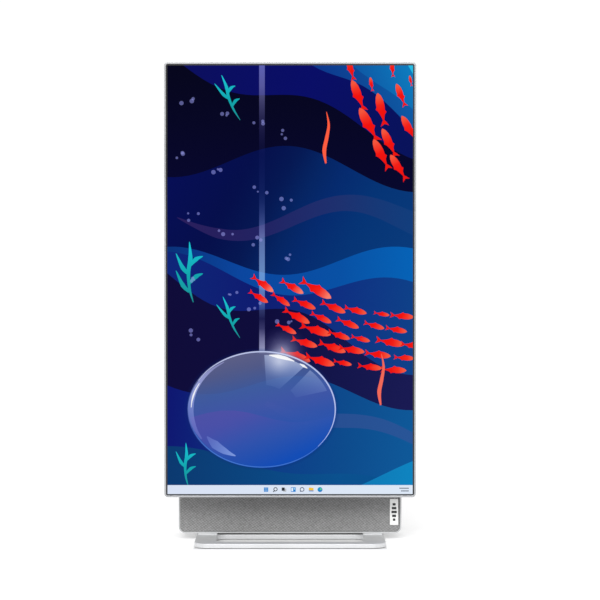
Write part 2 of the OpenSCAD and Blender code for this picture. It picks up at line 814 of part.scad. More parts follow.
// Copper plate on the processor with its heat pipes
module cold_plate() {
    pipe_radius = 3;
    plate_front = board_back + 1.4;
    color("chocolate") union() {
        block([cpu_x - 22, plate_front, blower_z - 22], [cpu_x + 22, plate_front + 3, blower_z + 22]);
        for (z = [-9, 9])
            bar_x(pipe_radius, fins_x + fins_wide / 2, cpu_x + 18,
                  plate_front + 2.4 + pipe_radius, blower_z + z);
    }
}

// Stack of thin fins in the blower's outlet
module fin_stack() {
    fins = 16;
    fin_pitch = (blower_size - 10) / fins;
    color("silver") union() {
        for (i = [0 : fins])
            block([fins_x - fins_wide / 2, blower_front, blower_z - blower_size / 2 + 4.6 + i * fin_pitch],
                  [fins_x + fins_wide / 2, blower_back, blower_z - blower_size / 2 + 5.4 + i * fin_pitch]);
        block([fins_x - fins_wide / 2, blower_front, blower_z - blower_size / 2 + 4.6],
              [fins_x + fins_wide / 2, blower_front + 1, blower_z + blower_size / 2 - 4.6]);
    }
}

// Scroll housing, open at the back for air in and at the side for air out
module blower_housing() {
    half = blower_size / 2;
    wall = 1.5;
    color("black") union() {
        difference() {
            block([blower_x - half, blower_front, blower_z - half],
                  [blower_x + half, blower_back, blower_z + half]);
            bar_y(rotor_fan_radius + 3, blower_front + wall, blower_back - wall, blower_x, blower_z);
            block([blower_x, blower_front + wall, blower_z - half + 4.6],
                  [blower_x + half + 1, blower_back - wall, blower_z + half - 4.6]);
            bar_y(rotor_fan_radius - 7, blower_back - wall - 1, blower_back + 1, blower_x, blower_z);
        }
        bar_y(2, blower_front, fan_back - 1.8, blower_x, blower_z);
        for (sx = [-1, 1])
            bar_y(2.5, board_back, blower_front, blower_x + sx * (half - 4), blower_z - half + 4);
    }
}

// Bladed rotor of the blower, on a pin of the housing
module blower_rotor() {
    blades = 19;
    color("dimgray") difference() {
        union() {
            bar_y(12, fan_front, fan_back, blower_x, blower_z);
            bar_y(rotor_fan_radius - 3, fan_front, fan_front + 1, blower_x, blower_z);
            for (i = [0 : blades - 1])
                upright(fan_front, fan_back - 1, blower_z, blower_x) rotate(i * 360 / blades)
                    translate([11, 0]) rotate(14) square([rotor_fan_radius - 12, 1.1]);
        }
        bar_y(2 + running_gap, fan_front - 1, fan_back - 1.5, blower_x, blower_z);
    }
}

// Rear connectors with their tongues, on a small board of their own
module rear_ports() {
    wall = 0.5;
    face = box_back - 1;
    color("darkgreen") block([port_list[0][0] - 12, board_back, port_shelf_z - board_thick],
                             [port_list[7][0] + 10, back_panel_front, port_shelf_z]);
    color("silver") for (port = port_list) translate([port[0], 0, port_shelf_z]) {
        difference() {
            block([-port[1] / 2, face - port_depth, 0], [port[1] / 2, face, port[2]]);
            block([wall - port[1] / 2, face - 9, wall], [port[1] / 2 - wall, face + 1, port[2] - wall]);
        }
        if (port[2] > 10)
            block([-port[1] / 3, face - 9, port[2] - 2.5], [port[1] / 3, face - 3, port[2] - wall]);
        else
            block([-port[1] / 4, face - 10, port[2] * 0.42], [port[1] / 4, face - 2, port[2] * 0.58]);
    }
}

// USB-C connector at the side, soldered to the mainboard
module side_ports() {
    x_out = 0.3 - inner_half - box_wall;
    color("silver") difference() {
        block([x_out, side_port_y - 1.8, type_c_z - 4.7], [x_out + 12, side_port_y + 1.8, type_c_z + 4.7]);
        block([x_out - 1, side_port_y - 1.4, type_c_z - 4.3], [x_out + 7, side_port_y + 1.4, type_c_z + 4.3]);
    }
    color("black")
        block([x_out + 4, board_back, type_c_z - 3], [x_out + 11, side_port_y - 1.8, type_c_z + 3]);
}

// Headphone socket in the side wall
module headphone_socket() {
    x_out = -inner_half - box_wall;
    color("black") difference() {
        union() {
            bar_x(3.9, x_out, x_out + jack_depth + 2, side_port_y, jack_z);
            block([x_out + 4, board_back, jack_z - 3], [x_out + jack_depth, side_port_y, jack_z + 3]);
        }
        bar_x(jack_radius, x_out - 1, x_out + jack_depth, side_port_y, jack_z);
    }
}

button_travel = 0.6;

// Power button with a collar that keeps it in the shell
module power_button() {
    color("silver") union() {
        bar_x(5, inner_half - thin_gap, inner_half + box_wall + 0.8, button_y, button_z);
        bar_x(6.5, inner_half - thin_gap - 1.5, inner_half - thin_gap, button_y, button_z);
        bar_x(2, inner_half - 3.6, inner_half - thin_gap - 1.5, button_y, button_z);
    }
}

// Switch behind the power button, on a small board held by the rear panel
module power_switch() {
    face = inner_half - 3.6 - button_travel - 0.2;
    color("darkgreen") block([face - 5.2, button_y - 8, button_z - 8],
                             [face - 4, back_panel_front, button_z + 8]);
    color("black") block([face - 4, button_y - 3, button_z - 3], [face, button_y + 3, button_z + 3]);
}

// ---------- foot ----------

// Opening in the foot between two depths
module foot_opening(y_low, y_high) {
    corner = min(opening_corner, (y_high - y_low) / 2 - 0.5);
    translate([0, (y_low + y_high) / 2, foot_base - 1])
        linear_extrude(foot_thick + 2) round_rect(opening_wide, y_high - y_low, corner);
}

pad_spots = [for (y = [foot_front + 9, foot_back - 9], x = [-1, 1]) [x * (foot_wide / 2 - 60), y]];

// Cast aluminium foot with a front and a rear opening and low lands under the base unit
module foot_frame() {
    color("silver") difference() {
        union() {
            translate([0, 0, foot_base])
                linear_extrude(foot_thick) round_rect(foot_wide, foot_depth, foot_corner);
            left_and_right() block([opening_wide / 2, box_front + 2, foot_top - 1],
                                   [foot_wide / 2 - 1, box_back - 6, land_top]);
            block([-base_flange_wide / 2 - 4, base_flange_front, foot_top - 1],
                  [base_flange_wide / 2 + 4, base_flange_back, land_top]);
        }
        foot_opening(front_opening_front, front_opening_back);
        foot_opening(rear_opening_front, rear_opening_back);
        for (spot = flange_screw_spots) translate([spot[0], spot[1], foot_base - 1]) {
            cylinder(r = 2.5, h = foot_thick + land_tall + 2);
            cylinder(r = 4.6, h = 3.6);
        }
        for (spot = pad_spots) translate([spot[0], spot[1], foot_base - 1])
            linear_extrude(1 + pad_groove) round_rect(100, 10, 3);
    }
}

// Rubber pads let into the underside
module foot_pads() {
    color("dimgray") for (spot = pad_spots) translate([spot[0], spot[1], 0])
        linear_extrude(foot_base + pad_groove) round_rect(100, 10, 3);
}

// Screws that clamp the base unit and the neck to the foot
module foot_screws() {
    color("gray") for (spot = flange_screw_spots) translate([spot[0], spot[1], 0]) difference() {
        union() {
            translate([0, 0, foot_base + 0.4]) cylinder(r = 4.5, h = 2.2);
            translate([0, 0, foot_base + 2.6])
                cylinder(r = 2.4, h = base_flange_bottom + 1.4 - foot_base);
        }
        translate([0, 0, foot_base - 1]) cylinder(r = 2, h = 2.6, $fn = 6);
    }
}

// Countersunk screws in the rear panel
module back_screws() {
    color("gray") for (spot = back_screw_spots) difference() {
        bar_y(2.5, box_back - 1.6, box_back - 0.2, spot[0], spot[1]);
        translate([spot[0], box_back - 0.2, spot[1]]) rotate([90, 0, 0]) cylinder(r = 1.3, h = 0.8, $fn = 6);
    }
}

// ---------- nodes ----------

screen_rim();
lcd_cell();
border_frame();
optical_films();
light_guide();
led_bar();
reflector_sheet();
panel_tray();
timing_board();
panel_cable();
hinge_plate();
hinge_plate_screws();
rear_cover();
pivot_hub();
pivot_rotor();
pivot_shaft();
pivot_washers();
pivot_nut();
stop_pin();
tilt_bracket();
pivot_cover();
hinge_cable();
barrel_cover();
tilt_pins();
tilt_washers();
tilt_nuts();
neck_core();
neck_front_cover();
neck_rear_cover();
neck_cable();
box_shell();
grille_carrier();
fabric_front();
badge();
back_panel();
speaker_box_left();
speaker_box_right();
driver_basket_left();
driver_basket_right();
driver_cone_left();
driver_cone_right();
driver_magnet_left();
driver_magnet_right();
mainboard();
memory_and_drive();
cold_plate();
fin_stack();
blower_housing();
blower_rotor();
rear_ports();
side_ports();
headphone_socket();
power_button();
power_switch();
foot_frame();
foot_pads();
foot_screws();
back_screws();
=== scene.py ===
import math
import random

import bmesh
import bpy
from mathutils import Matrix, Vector
from mathutils.geometry import delaunay_2d_cdt


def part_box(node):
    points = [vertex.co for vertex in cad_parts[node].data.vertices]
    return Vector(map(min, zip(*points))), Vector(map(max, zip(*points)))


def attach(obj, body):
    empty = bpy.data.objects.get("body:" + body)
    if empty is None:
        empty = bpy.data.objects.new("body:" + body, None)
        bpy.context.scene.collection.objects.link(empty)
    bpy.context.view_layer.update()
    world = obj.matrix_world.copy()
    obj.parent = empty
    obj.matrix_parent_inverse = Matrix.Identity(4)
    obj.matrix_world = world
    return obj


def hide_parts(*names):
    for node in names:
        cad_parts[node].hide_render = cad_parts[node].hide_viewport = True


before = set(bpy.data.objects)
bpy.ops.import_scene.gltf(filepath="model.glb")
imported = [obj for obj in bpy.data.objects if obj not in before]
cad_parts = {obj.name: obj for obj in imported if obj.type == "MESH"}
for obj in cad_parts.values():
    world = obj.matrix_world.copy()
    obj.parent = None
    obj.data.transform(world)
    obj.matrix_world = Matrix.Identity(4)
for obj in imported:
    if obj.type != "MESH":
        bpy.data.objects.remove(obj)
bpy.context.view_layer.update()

MM = 0.001

# Camera: a little above the middle of the screen and three metres in front of it, with a long lens
# that looks slightly down. The shift sets the display in the frame.
bpy.ops.object.camera_add(location=(0, -3.021, 0.421), rotation=(math.radians(89.2), 0, 0))
camera = bpy.context.object
camera.data.lens = 125.8
camera.data.sensor_width = 36
camera.data.shift_x = 0.0165
camera.data.shift_y = -0.0426
bpy.context.scene.camera = camera
bpy.context.scene.view_settings.view_transform = "Standard"


# Studio: a white room. A large soft lamp stands high in front, so the head throws a soft shade on
# the cloth below it; weak softboxes at the sides and behind give the metal edges a soft line.
def add(finish, kind, links=None, **settings):
    """Adds a node. Settings are its properties; links are its sockets' sources or values."""
    made = finish.node_tree.nodes.new(kind)
    for name, value in settings.items():
        setattr(made, name, value)
    for socket, source in (links or {}).items():
        if isinstance(source, bpy.types.NodeSocket):
            finish.node_tree.links.new(source, made.inputs[socket])
        else:
            made.inputs[socket].default_value = source
    return made


room = bpy.data.worlds.new("white_room")
room.use_nodes = True
room_light = add(room, "ShaderNodeBackground", {"Color": (1, 1, 1, 1), "Strength": 0.6})
room_seen = add(room, "ShaderNodeBackground", {"Color": (1, 1, 1, 1), "Strength": 1.05})
room_ray = add(room, "ShaderNodeLightPath")
room_mix = add(room, "ShaderNodeMixShader", {0: room_ray.outputs["Is Camera Ray"],
                                             1: room_light.outputs[0], 2: room_seen.outputs[0]})
room.node_tree.links.new(room_mix.outputs[0], room.node_tree.nodes["World Output"].inputs["Surface"])
bpy.context.scene.world = room

bpy.ops.object.light_add(type="SUN", location=(0, -3, 3),
                         rotation=(math.radians(52), 0, math.radians(-8)))
lamp = bpy.context.object
lamp.name = "soft_front_lamp"
lamp.data.energy = 2.3
lamp.data.angle = math.radians(38)
for name, watts, size, place, turn in (
        ("softbox_left", 4, 1.0, (-1.7, -0.6, 1.0), (72, 0, -75)),
        ("softbox_right", 4, 1.0, (1.7, -0.6, 1.0), (72, 0, 75)),
        ("softbox_behind", 9, 1.4, (0.5, 2.0, 1.4), (62, 0, 166))):
    bpy.ops.object.light_add(type="AREA", location=place, rotation=[math.radians(a) for a in turn])
    softbox = bpy.context.object
    softbox.name = name
    softbox.data.energy = watts
    softbox.data.size = size


def shares(code):
    """An sRGB hex colour as red, green and blue from 0 to 1."""
    return [int(code[i:i + 2], 16) / 255 for i in (1, 3, 5)]


def linear(colour):
    """An sRGB colour, as a hex code or as its shares, as linear red, green, blue and alpha."""
    parts = shares(colour) if isinstance(colour, str) else colour
    return [c / 12.92 if c <= 0.04045 else ((c + 0.055) / 1.055) ** 2.4 for c in parts] + [1.0]


def grained(name, dark, light, grain, rough, lift=0.02, metallic=0.0, stretch=(1, 1, 1), **fixed):
    """A finish with an all-over grain, grain mm across, that mixes two near colours, plays with the
    gloss between two values and lifts the surface by up to lift mm. Stretch draws the grain out."""
    finish = bpy.data.materials.new(name)
    finish.use_nodes = True
    shader = finish.node_tree.nodes["Principled BSDF"]
    place = add(finish, "ShaderNodeTexCoord").outputs["Object"]
    drawn = add(finish, "ShaderNodeMapping", {"Vector": place, "Scale": stretch}).outputs[0]
    fine = add(finish, "ShaderNodeTexNoise", {"Vector": drawn, "Scale": 1 / (grain * MM), "Detail": 3.0})
    broad = add(finish, "ShaderNodeTexNoise", {"Vector": place, "Scale": 9.0, "Detail": 2.0})
    both = add(finish, "ShaderNodeMath", {0: fine.outputs["Fac"], 1: broad.outputs["Fac"]}, operation="ADD")
    share = add(finish, "ShaderNodeMapRange", {"Value": both.outputs[0], "From Min": 0.65, "From Max": 1.35})
    tint = add(finish, "ShaderNodeMix", {0: share.outputs[0], 6: linear(dark), 7: linear(light)},
               data_type="RGBA")
    gloss = add(finish, "ShaderNodeMapRange",
                {"Value": share.outputs[0], "To Min": rough[0], "To Max": rough[1]})
    relief = add(finish, "ShaderNodeBump",
                 {"Height": fine.outputs["Fac"], "Distance": lift * MM, "Strength": 0.6})
    for socket, source in (("Base Color", tint.outputs[2]), ("Roughness", gloss.outputs[0]),
                           ("Normal", relief.outputs[0])):
        finish.node_tree.links.new(source, shader.inputs[socket])
    shader.inputs["Metallic"].default_value = metallic
    for socket, value in fixed.items():
        shader.inputs[socket.replace("_", " ")].default_value = value
    return finish


# Floor: one large sheet of white opal board, matt. It glows a little, as if lit from below, so that shades
# stay soft.
# The glow is masked off under the foot and fades in just past its edges: a painted shade under the foot and a
# thin painted contact shadow along its edges.
bpy.ops.object.select_all(action="DESELECT")
bpy.ops.mesh.primitive_plane_add(size=400)
floor = bpy.context.object
floor.name = "floor"
board_glow, painted_shade_side_stretch = 0.36, 4.0
# Edges of the painted shade under the foot, in metres from the foot's outline: it begins inside and fades out
# past it.
painted_shade_from, painted_shade_to = -2 * MM, 9 * MM
board = grained("white_board_painted_foot_shade", "#D4D4D4", "#DCDCDC", 6, (0.85, 0.95), 0.0,
                Emission_Color=(1, 1, 1, 1))
foot_near, foot_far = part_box("foot_frame")
board_place = add(board, "ShaderNodeTexCoord").outputs["Object"]
board_shift = add(board, "ShaderNodeVectorMath", {0: board_place, 1: (foot_near + foot_far) / 2},
                  operation="SUBTRACT")
board_far = add(board, "ShaderNodeVectorMath", {0: board_shift.outputs[0]}, operation="ABSOLUTE")
board_past = add(board, "ShaderNodeVectorMath",
                 {0: board_far.outputs[0], 1: (foot_far - foot_near) / 2}, operation="SUBTRACT")
board_axes = add(board, "ShaderNodeSeparateXYZ", {0: board_past.outputs[0]})
board_side = add(board, "ShaderNodeMath", {0: board_axes.outputs["X"], 1: painted_shade_side_stretch},
                 operation="MULTIPLY")
board_out = add(board, "ShaderNodeMath", {0: board_side.outputs[0], 1: board_axes.outputs["Y"]},
                operation="MAXIMUM")
# Painted shade: no glow from 2 mm inside the foot's outline, full glow from 9 mm past its front and back
# edges and a quarter of that past its sides.
board_glow_painted_shade = add(board, "ShaderNodeMapRange",
                {"Value": board_out.outputs[0], "From Min": painted_shade_from, "From Max": painted_shade_to,
                 "To Min": 0.0, "To Max": board_glow})
board.node_tree.links.new(board_glow_painted_shade.outputs[0],
                          board.node_tree.nodes["Principled BSDF"].inputs["Emission Strength"])
floor.data.materials.append(board)


# Foot: a cast aluminium plate with two openings, blasted with fine beads and clear anodised, so it
# is pale and satin, with a bright rounded edge. Low lands on it carry the base unit.
def block(name, low, high):
    """A box between two corners in mm, as the start of a piece."""
    bpy.ops.object.select_all(action="DESELECT")
    bpy.ops.mesh.primitive_cube_add(size=1, location=[(a + b) / 2 * MM for a, b in zip(low, high)])
    piece = bpy.context.object
    piece.name = piece.data.name = name
    piece.scale = [(b - a) * MM for a, b in zip(low, high)]
    bpy.ops.object.transform_apply(location=True, rotation=True, scale=True)
    return piece


def take(piece):
    """Picks one piece alone."""
    bpy.ops.object.select_all(action="DESELECT")
    piece.select_set(True)
    bpy.context.view_layer.objects.active = piece


def edit(piece):
    """Picks one piece alone and opens it in edit mode."""
    take(piece)
    bpy.ops.object.mode_set(mode="EDIT")


def leave():
    bpy.ops.object.mode_set(mode="OBJECT")


def choose(piece, kind, test):
    """In edit mode, selects edges or faces by a test of their middle in mm and direction or normal."""
    bpy.ops.mesh.select_mode(type="FACE" if kind == "faces" else "EDGE")
    bpy.ops.mesh.select_all(action="DESELECT")
    shape = bmesh.from_edit_mesh(piece.data)
    shape.normal_update()
    for part in getattr(shape, kind):
        middle = sum((v.co for v in part.verts), Vector()) / len(part.verts) / MM
        ends = part.verts
        way = part.normal if kind == "faces" else (ends[1].co - ends[0].co).normalized()
        if test(middle, way):
            part.select_set(True)
    bmesh.update_edit_mesh(piece.data)


def round_corners(piece, axis, radius, segments, test=lambda middle: True):
    """Rounds the edges that run along one axis."""
    edit(piece)
    choose(piece, "edges", lambda middle, way: abs(way[axis]) > 0.999 and test(middle))
    bpy.ops.mesh.bevel(offset=radius * MM, segments=segments, affect="EDGES")
    leave()


def shape_with(piece, kind, **settings):
    """Gives a piece one modifier and applies it."""
    take(piece)
    step = piece.modifiers.new(kind, kind)
    for name, value in settings.items():
        setattr(step, name, value)
    bpy.ops.object.modifier_apply(modifier=step.name)


def ease_edges(piece, radius, segments=3, angle=32):
    """Rounds every edge sharper than an angle, then shades the piece smooth with its flats kept flat."""
    if radius:
        shape_with(piece, "BEVEL", width=radius * MM, segments=segments, limit_method="ANGLE",
                   angle_limit=math.radians(angle), use_clamp_overlap=True)
    take(piece)
    bpy.ops.object.shade_smooth_by_angle(angle=math.radians(38))
    shape_with(piece, "WEIGHTED_NORMAL", keep_sharp=True)


def merge_corners(piece):
    """Merges corners that a limited rounding brought together."""
    edit(piece)
    bpy.ops.mesh.select_all(action="SELECT")
    bpy.ops.mesh.remove_doubles(threshold=2e-5 * MM)
    leave()


def cut(piece, *tools):
    """Takes the tools' shapes out of a piece."""
    for tool in tools:
        shape_with(piece, "BOOLEAN", operation="DIFFERENCE", object=tool, solver="EXACT")
        bpy.data.objects.remove(tool)


def join(piece, *others):
    """Joins other meshes to a piece."""
    bpy.ops.object.select_all(action="DESELECT")
    for part in (piece,) + others:
        part.select_set(True)
    bpy.context.view_layer.objects.active = piece
    bpy.ops.object.join()
    return piece


def fit(piece, body, finish, slot, *nodes):
    """Gives a piece its finish and its body, and hides the CAD nodes that it stands for. The slot is not
    used.
    """
    if not piece.data.materials:
        piece.data.materials.append(finish)
    else:
        piece.data.materials[0] = finish
    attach(piece, body)
    if nodes:
        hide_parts(*nodes)


def place_of(node):
    """A CAD node's corners in mm."""
    return [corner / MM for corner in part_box(node)]


# Bead-blasted, clear anodised aluminium: soft even sheen. The blast marks are 0.1 mm; they are drawn
# at 1.2 mm, as finer ones would not show.
foot_finish = grained("anodised_aluminium_blasted", "#CFD0D1", "#DCDDDE", 1.2, (0.36, 0.46), 0.01,
                      metallic=0.45)
foot_low, foot_high = place_of("foot_frame")
pad_high = place_of("foot_pads")[1]
shell_low, shell_high = place_of("box_shell")
fabric_low, fabric_high = place_of("fabric_front")
back_low, back_high = place_of("back_panel")
land_top = shell_low.z
plate_top = land_top - 2
rail_wide, rail_deep = 29.5, 20.5
opening_half = foot_high.x - rail_wide
openings = ((foot_low.y + rail_deep, fabric_low.y - 1), (back_high.y + 6, foot_high.y - rail_deep))

foot = block("foot", foot_low, (foot_high.x, foot_high.y, plate_top))
round_corners(foot, 2, 20, 12)
edit(foot)
for point, way in [((side * opening_half, 0, 0), (1, 0, 0)) for side in (-1, 1)] + [
        ((0, y, 0), (0, 1, 0)) for pair in openings for y in pair]:
    bpy.ops.mesh.select_all(action="SELECT")
    bpy.ops.mesh.bisect(plane_co=[c * MM for c in point], plane_no=way)
for front, back in openings:
    choose(foot, "faces", lambda middle, way: abs(way.z) > 0.9
           and abs(middle.x) < opening_half and front < middle.y < back)
    bpy.ops.mesh.bridge_edge_loops()
leave()
round_corners(foot, 2, 15, 10, lambda middle: abs(abs(middle.x) - opening_half) < 0.01
              and any(abs(middle.y - y) < 0.01 for pair in openings for y in pair))
pocket_spots = [(side * (foot_high.x - 60), y) for side in (-1, 1)
                for y in (foot_low.y + 9, foot_high.y - 9)]
for x, y in pocket_spots:
    pocket = block("pocket", (x - 50, y - 5, 0), (x + 50, y + 5, pad_high.z))
    round_corners(pocket, 2, 3, 4)
    cut(foot, pocket)
screw_low, screw_high = place_of("foot_screws")
screw_half = 4.5
screw_spots = [(side * (screw_high.x - screw_half), y) for side in (-1, 1)
               for y in (screw_low.y + screw_half, screw_high.y - screw_half)]


def drum(name, radius, low, high, centre, axis, sides=64):
    """A round bar in mm along one axis between two levels, about a centre on the other two axes."""
    middle = list(centre)
    middle.insert(axis, (low + high) / 2)
    turn = ((0, math.pi / 2, 0), (math.pi / 2, 0, 0), (0, 0, 0))[axis]
    bpy.ops.object.select_all(action="DESELECT")
    bpy.ops.mesh.primitive_cylinder_add(vertices=sides, radius=radius * MM, depth=abs(high - low) * MM,
                                        location=[c * MM for c in middle], rotation=turn)
    piece = bpy.context.object
    piece.name = piece.data.name = name
    bpy.ops.object.transform_apply(location=True, rotation=True, scale=True)
    return piece


for x, y in screw_spots:
    cut(foot, drum("counterbore", 4.7, -1, 3.5, (x, y), 2, 32))
ease_edges(foot, 1.3, 4)
merge_corners(foot)
land_half = screw_high.x + screw_half + 12 - 1
land_past, land_root = 3.5, plate_top - 1
lands = [block("land", (-land_half, screw_low.y - land_past, land_root),
               (land_half, screw_high.y + land_past, land_top))]
lands += [block("land", (min(ends), fabric_low.y + 2, land_root), (max(ends), back_high.y - 6, land_top))
          for ends in ((-opening_half, 1 - foot_high.x), (opening_half, foot_high.x - 1))]
for land in lands:
    round_corners(land, 2, 1.5, 3)
    ease_edges(land, 0.3, 2)
join(foot, *lands)
fit(foot, "base", foot_finish, "foot_metal", "foot_frame")

# Foot pads: four strips of soft black rubber, pressed into shallow pockets under the plate.
# Ribs along each strip grip the table.
pad_finish = grained("moulded_rubber", "#1B1B1C", "#29292B", 1.5, (0.75, 0.9), 0.05)
pads = []
for x, y in pocket_spots:
    pad = block("pad", (x - 49.9, y - 4.9, 0.4), (x + 49.9, y + 4.9, pad_high.z))
    round_corners(pad, 2, 3, 4)
    ribs = [block("rib", (x - 46, y + step - 0.5, 0), (x + 46, y + step + 0.5, 0.6))
            for step in (-3, -1, 1, 3)]
    ease_edges(join(pad, *ribs), 0.15, 2)
    pads.append(pad)
pads[0].name = "foot_pad_strips"
fit(join(*pads), "base", pad_finish, "pad_rubber", "foot_pads")

# Foot screws: four socket-head screws of plated steel that clamp the plate to the neck and the base.
screw_finish = grained("zinc_plated_steel", "#8F9091", "#A9AAAA", 0.8, (0.28, 0.42), 0.01, metallic=1.0)
screws = []
for x, y in screw_spots:
    screw = drum("screw", 4.4, 1.2, 3.4, (x, y), 2, 32)
    cut(screw, drum("socket", 2, 0, 2.4, (x, y), 2, 6))
    ease_edges(screw, 0.3, 2)
    shank = drum("shank", 2.4, 3.3, screw_high.z, (x, y), 2, 24)
    ease_edges(shank, 0.3, 1)
    screws.append(join(screw, shank))
screws[0].name = "foot_screw_set"
fit(join(*screws), "base", screw_finish, "screw_steel", "foot_screws")

# Base unit's shell: a moulded ABS sleeve painted silver, 2 mm thick, with a fine matt grain.
# It has openings for the neck, the power button, the headphone socket and a USB-C socket.
def hollow(piece, wall):
    """Opens a block from its front to its back and leaves a wall in mm round it."""
    edit(piece)
    choose(piece, "faces", lambda middle, way: abs(way.y) > 0.9)
    bpy.ops.mesh.inset(thickness=wall * MM, depth=0)
    bpy.ops.mesh.bridge_edge_loops()
    leave()


shell_wall = 2
shell_paint = grained("silver_painted_abs", "#B7B8B9", "#C6C7C8", 0.9, (0.34, 0.46), 0.015,
                      metallic=0.35)
core_low, core_high = place_of("neck_core")
button_low, button_high = place_of("power_button")
jack_low, jack_high = place_of("headphone_socket")
button_spot = ((button_low.y + button_high.y) / 2, (button_low.z + button_high.z) / 2)
jack_spot = (jack_high.y - 3.9, (jack_low.z + jack_high.z) / 2)
type_c_z = jack_spot[1] + 16
shell = block("base_shell", shell_low, shell_high)
round_corners(shell, 1, 9, 10)
hollow(shell, shell_wall)
button_hole = drum("hole", 5.3, shell_high.x - 3, shell_high.x + 1, button_spot, 0, 40)
jack_hole = drum("hole", 4, shell_low.x - 1, shell_low.x + 3, jack_spot, 0, 40)
type_c_hole = block("hole", (shell_low.x - 1, jack_spot[0] - 2, type_c_z - 5),
                    (shell_low.x + 3, jack_spot[0] + 2, type_c_z + 5))
round_corners(type_c_hole, 0, 1.9, 5)
neck_hole = block("hole", (-39.4, 2.6, shell_high.z - 5), (39.4, 23, shell_high.z + 1))
cut(shell, button_hole, jack_hole, type_c_hole, neck_hole)
ease_edges(shell, 0.45, 3)
fit(shell, "base", shell_paint, "shell_silver", "box_shell")

# Grille carrier and speaker boxes: black moulded polystyrene with a coarse matt grain.
black_moulding = grained("black_moulded_polystyrene", "#101011", "#1E1E20", 1.0, (0.5, 0.7), 0.03)


def dress(finish, *nodes):
    """Gives CAD nodes that keep their shape a finish."""
    for name in nodes:
        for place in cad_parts[name].material_slots:
            place.material = finish


dress(black_moulding, "grille_carrier", "speaker_box_left", "speaker_box_right", "blower_housing")

# Speaker drivers: a pressed steel basket, black pulp paper cone with visible fibres, dark ferrite magnet.
basket_steel = grained("pressed_zinc_steel", "#77797B", "#96989A", 1.2, (0.3, 0.5), 0.02, metallic=1.0)
cone_paper = grained("black_pulp_paper", "#161617", "#2C2B2A", 0.9, (0.8, 0.95), 0.06, stretch=(1, 1, 3))
ferrite = grained("sintered_ferrite", "#2B2C2E", "#414347", 0.8, (0.45, 0.65), 0.03, metallic=0.3)
for side in ("left", "right"):
    dress(basket_steel, "driver_basket_" + side)
    dress(cone_paper, "driver_cone_" + side)
    dress(ferrite, "driver_magnet_" + side)

# Mainboard, drive and switch boards: green solder mask on glass-fibre, with copper tracks under it.
solder_mask = grained("green_solder_mask", "#0C3B20", "#1C6A3C", 2.5, (0.22, 0.4), 0.04,
                      stretch=(1, 1, 6), Coat_Weight=0.4)
dress(solder_mask, "mainboard", "memory_and_drive", "power_switch")

# Cooling: drawn copper plate and pipes, aluminium fins, and a dark nylon fan rotor.
drawn_copper = grained("drawn_copper", "#A65E3B", "#C67F58", 1.5, (0.22, 0.38), 0.02, metallic=1.0,
                       stretch=(0.15, 1, 1))
rolled_fins = grained("rolled_aluminium", "#B4B6B8", "#CED0D2", 1.0, (0.25, 0.4), 0.01, metallic=1.0,
                      stretch=(1, 0.2, 1))
dress(drawn_copper, "cold_plate")
dress(rolled_fins, "fin_stack")
dress(grained("glass_filled_nylon", "#232426", "#343639", 0.8, (0.4, 0.6), 0.03), "blower_rotor")

# Fabric front: polyester cloth over thin foam, wrapped round the edges of a panel. The threads are a
# light grey on a darker one, set on the slant, so the cloth reads as rows of small raised dots.
# Threads of such cloth are usually under 1 mm apart; the dots are drawn 3.4 mm apart, as finer ones
# would not show.
dot_pitch, yarn_grain = 3.4, 2.6
cloth = bpy.data.materials.new("woven_polyester")
cloth.use_nodes = True
cloth_shader = cloth.node_tree.nodes["Principled BSDF"]
cloth_place = add(cloth, "ShaderNodeTexCoord").outputs["Object"]
slant = add(cloth, "ShaderNodeMapping", {"Vector": cloth_place, "Rotation": (0, math.radians(38), 0),
                                         "Scale": (1, 1, 1.25)}).outputs[0]
dots = add(cloth, "ShaderNodeTexVoronoi",
           {"Vector": slant, "Scale": 1 / (dot_pitch * MM), "Randomness": 0.15})
yarn = add(cloth, "ShaderNodeTexNoise", {"Vector": slant, "Scale": 1 / (yarn_grain * MM), "Detail": 2.0})
wear = add(cloth, "ShaderNodeTexNoise", {"Vector": cloth_place, "Scale": 14.0, "Detail": 2.0})
crown = add(cloth, "ShaderNodeMapRange",
            {"Value": dots.outputs["Distance"], "From Min": 0.05, "From Max": 0.75,
             "To Min": 1.0, "To Max": 0.0})
speckle = add(cloth, "ShaderNodeMath", {0: wear.outputs["Fac"], 1: 0.15, 2: yarn.outputs["Fac"]},
              operation="MULTIPLY_ADD")
mixed = add(cloth, "ShaderNodeMath", {0: speckle.outputs[0], 1: 0.45, 2: -0.01},
            operation="MULTIPLY_ADD")
share = add(cloth, "ShaderNodeMath", {0: crown.outputs[0], 1: 0.5, 2: mixed.outputs[0]},
            operation="MULTIPLY_ADD", use_clamp=True)
thread = add(cloth, "ShaderNodeMix", {0: share.outputs[0], 6: linear("#454545"), 7: linear("#B0B0B0")},
             data_type="RGBA")
relief = add(cloth, "ShaderNodeBump",
             {"Height": share.outputs[0], "Distance": 0.35 * MM, "Strength": 0.9})
cloth.node_tree.links.new(thread.outputs[2], cloth_shader.inputs["Base Color"])
cloth.node_tree.links.new(relief.outputs[0], cloth_shader.inputs["Normal"])
cloth_shader.inputs["Roughness"].default_value = 0.92
cloth_shader.inputs["Specular IOR Level"].default_value = 0.2
cloth_shader.inputs["Sheen Weight"].default_value = 0.15
cloth_shader.inputs["Sheen Roughness"].default_value = 0.5
badge_low, badge_high = place_of("badge")
fabric = block("fabric_panel", fabric_low, fabric_high)
round_corners(fabric, 1, 6.8, 8)
cut(fabric, block("pocket", (badge_low.x, badge_low.y, badge_low.z), badge_high))
edit(fabric)
choose(fabric, "edges", lambda middle, way: abs(middle.y - fabric_low.y) < 0.01
       and abs(way.y) < 0.1 and (middle.x < badge_low.x - 1 or middle.x > badge_high.x + 1
                                 or middle.z < badge_low.z - 1 or middle.z > badge_high.z + 1))
bpy.ops.mesh.bevel(offset=1.5 * MM, segments=5, affect="EDGES")
leave()
ease_edges(fabric, 0, 0)
fit(fabric, "base", cloth, "fabric_grey", "fabric_front")

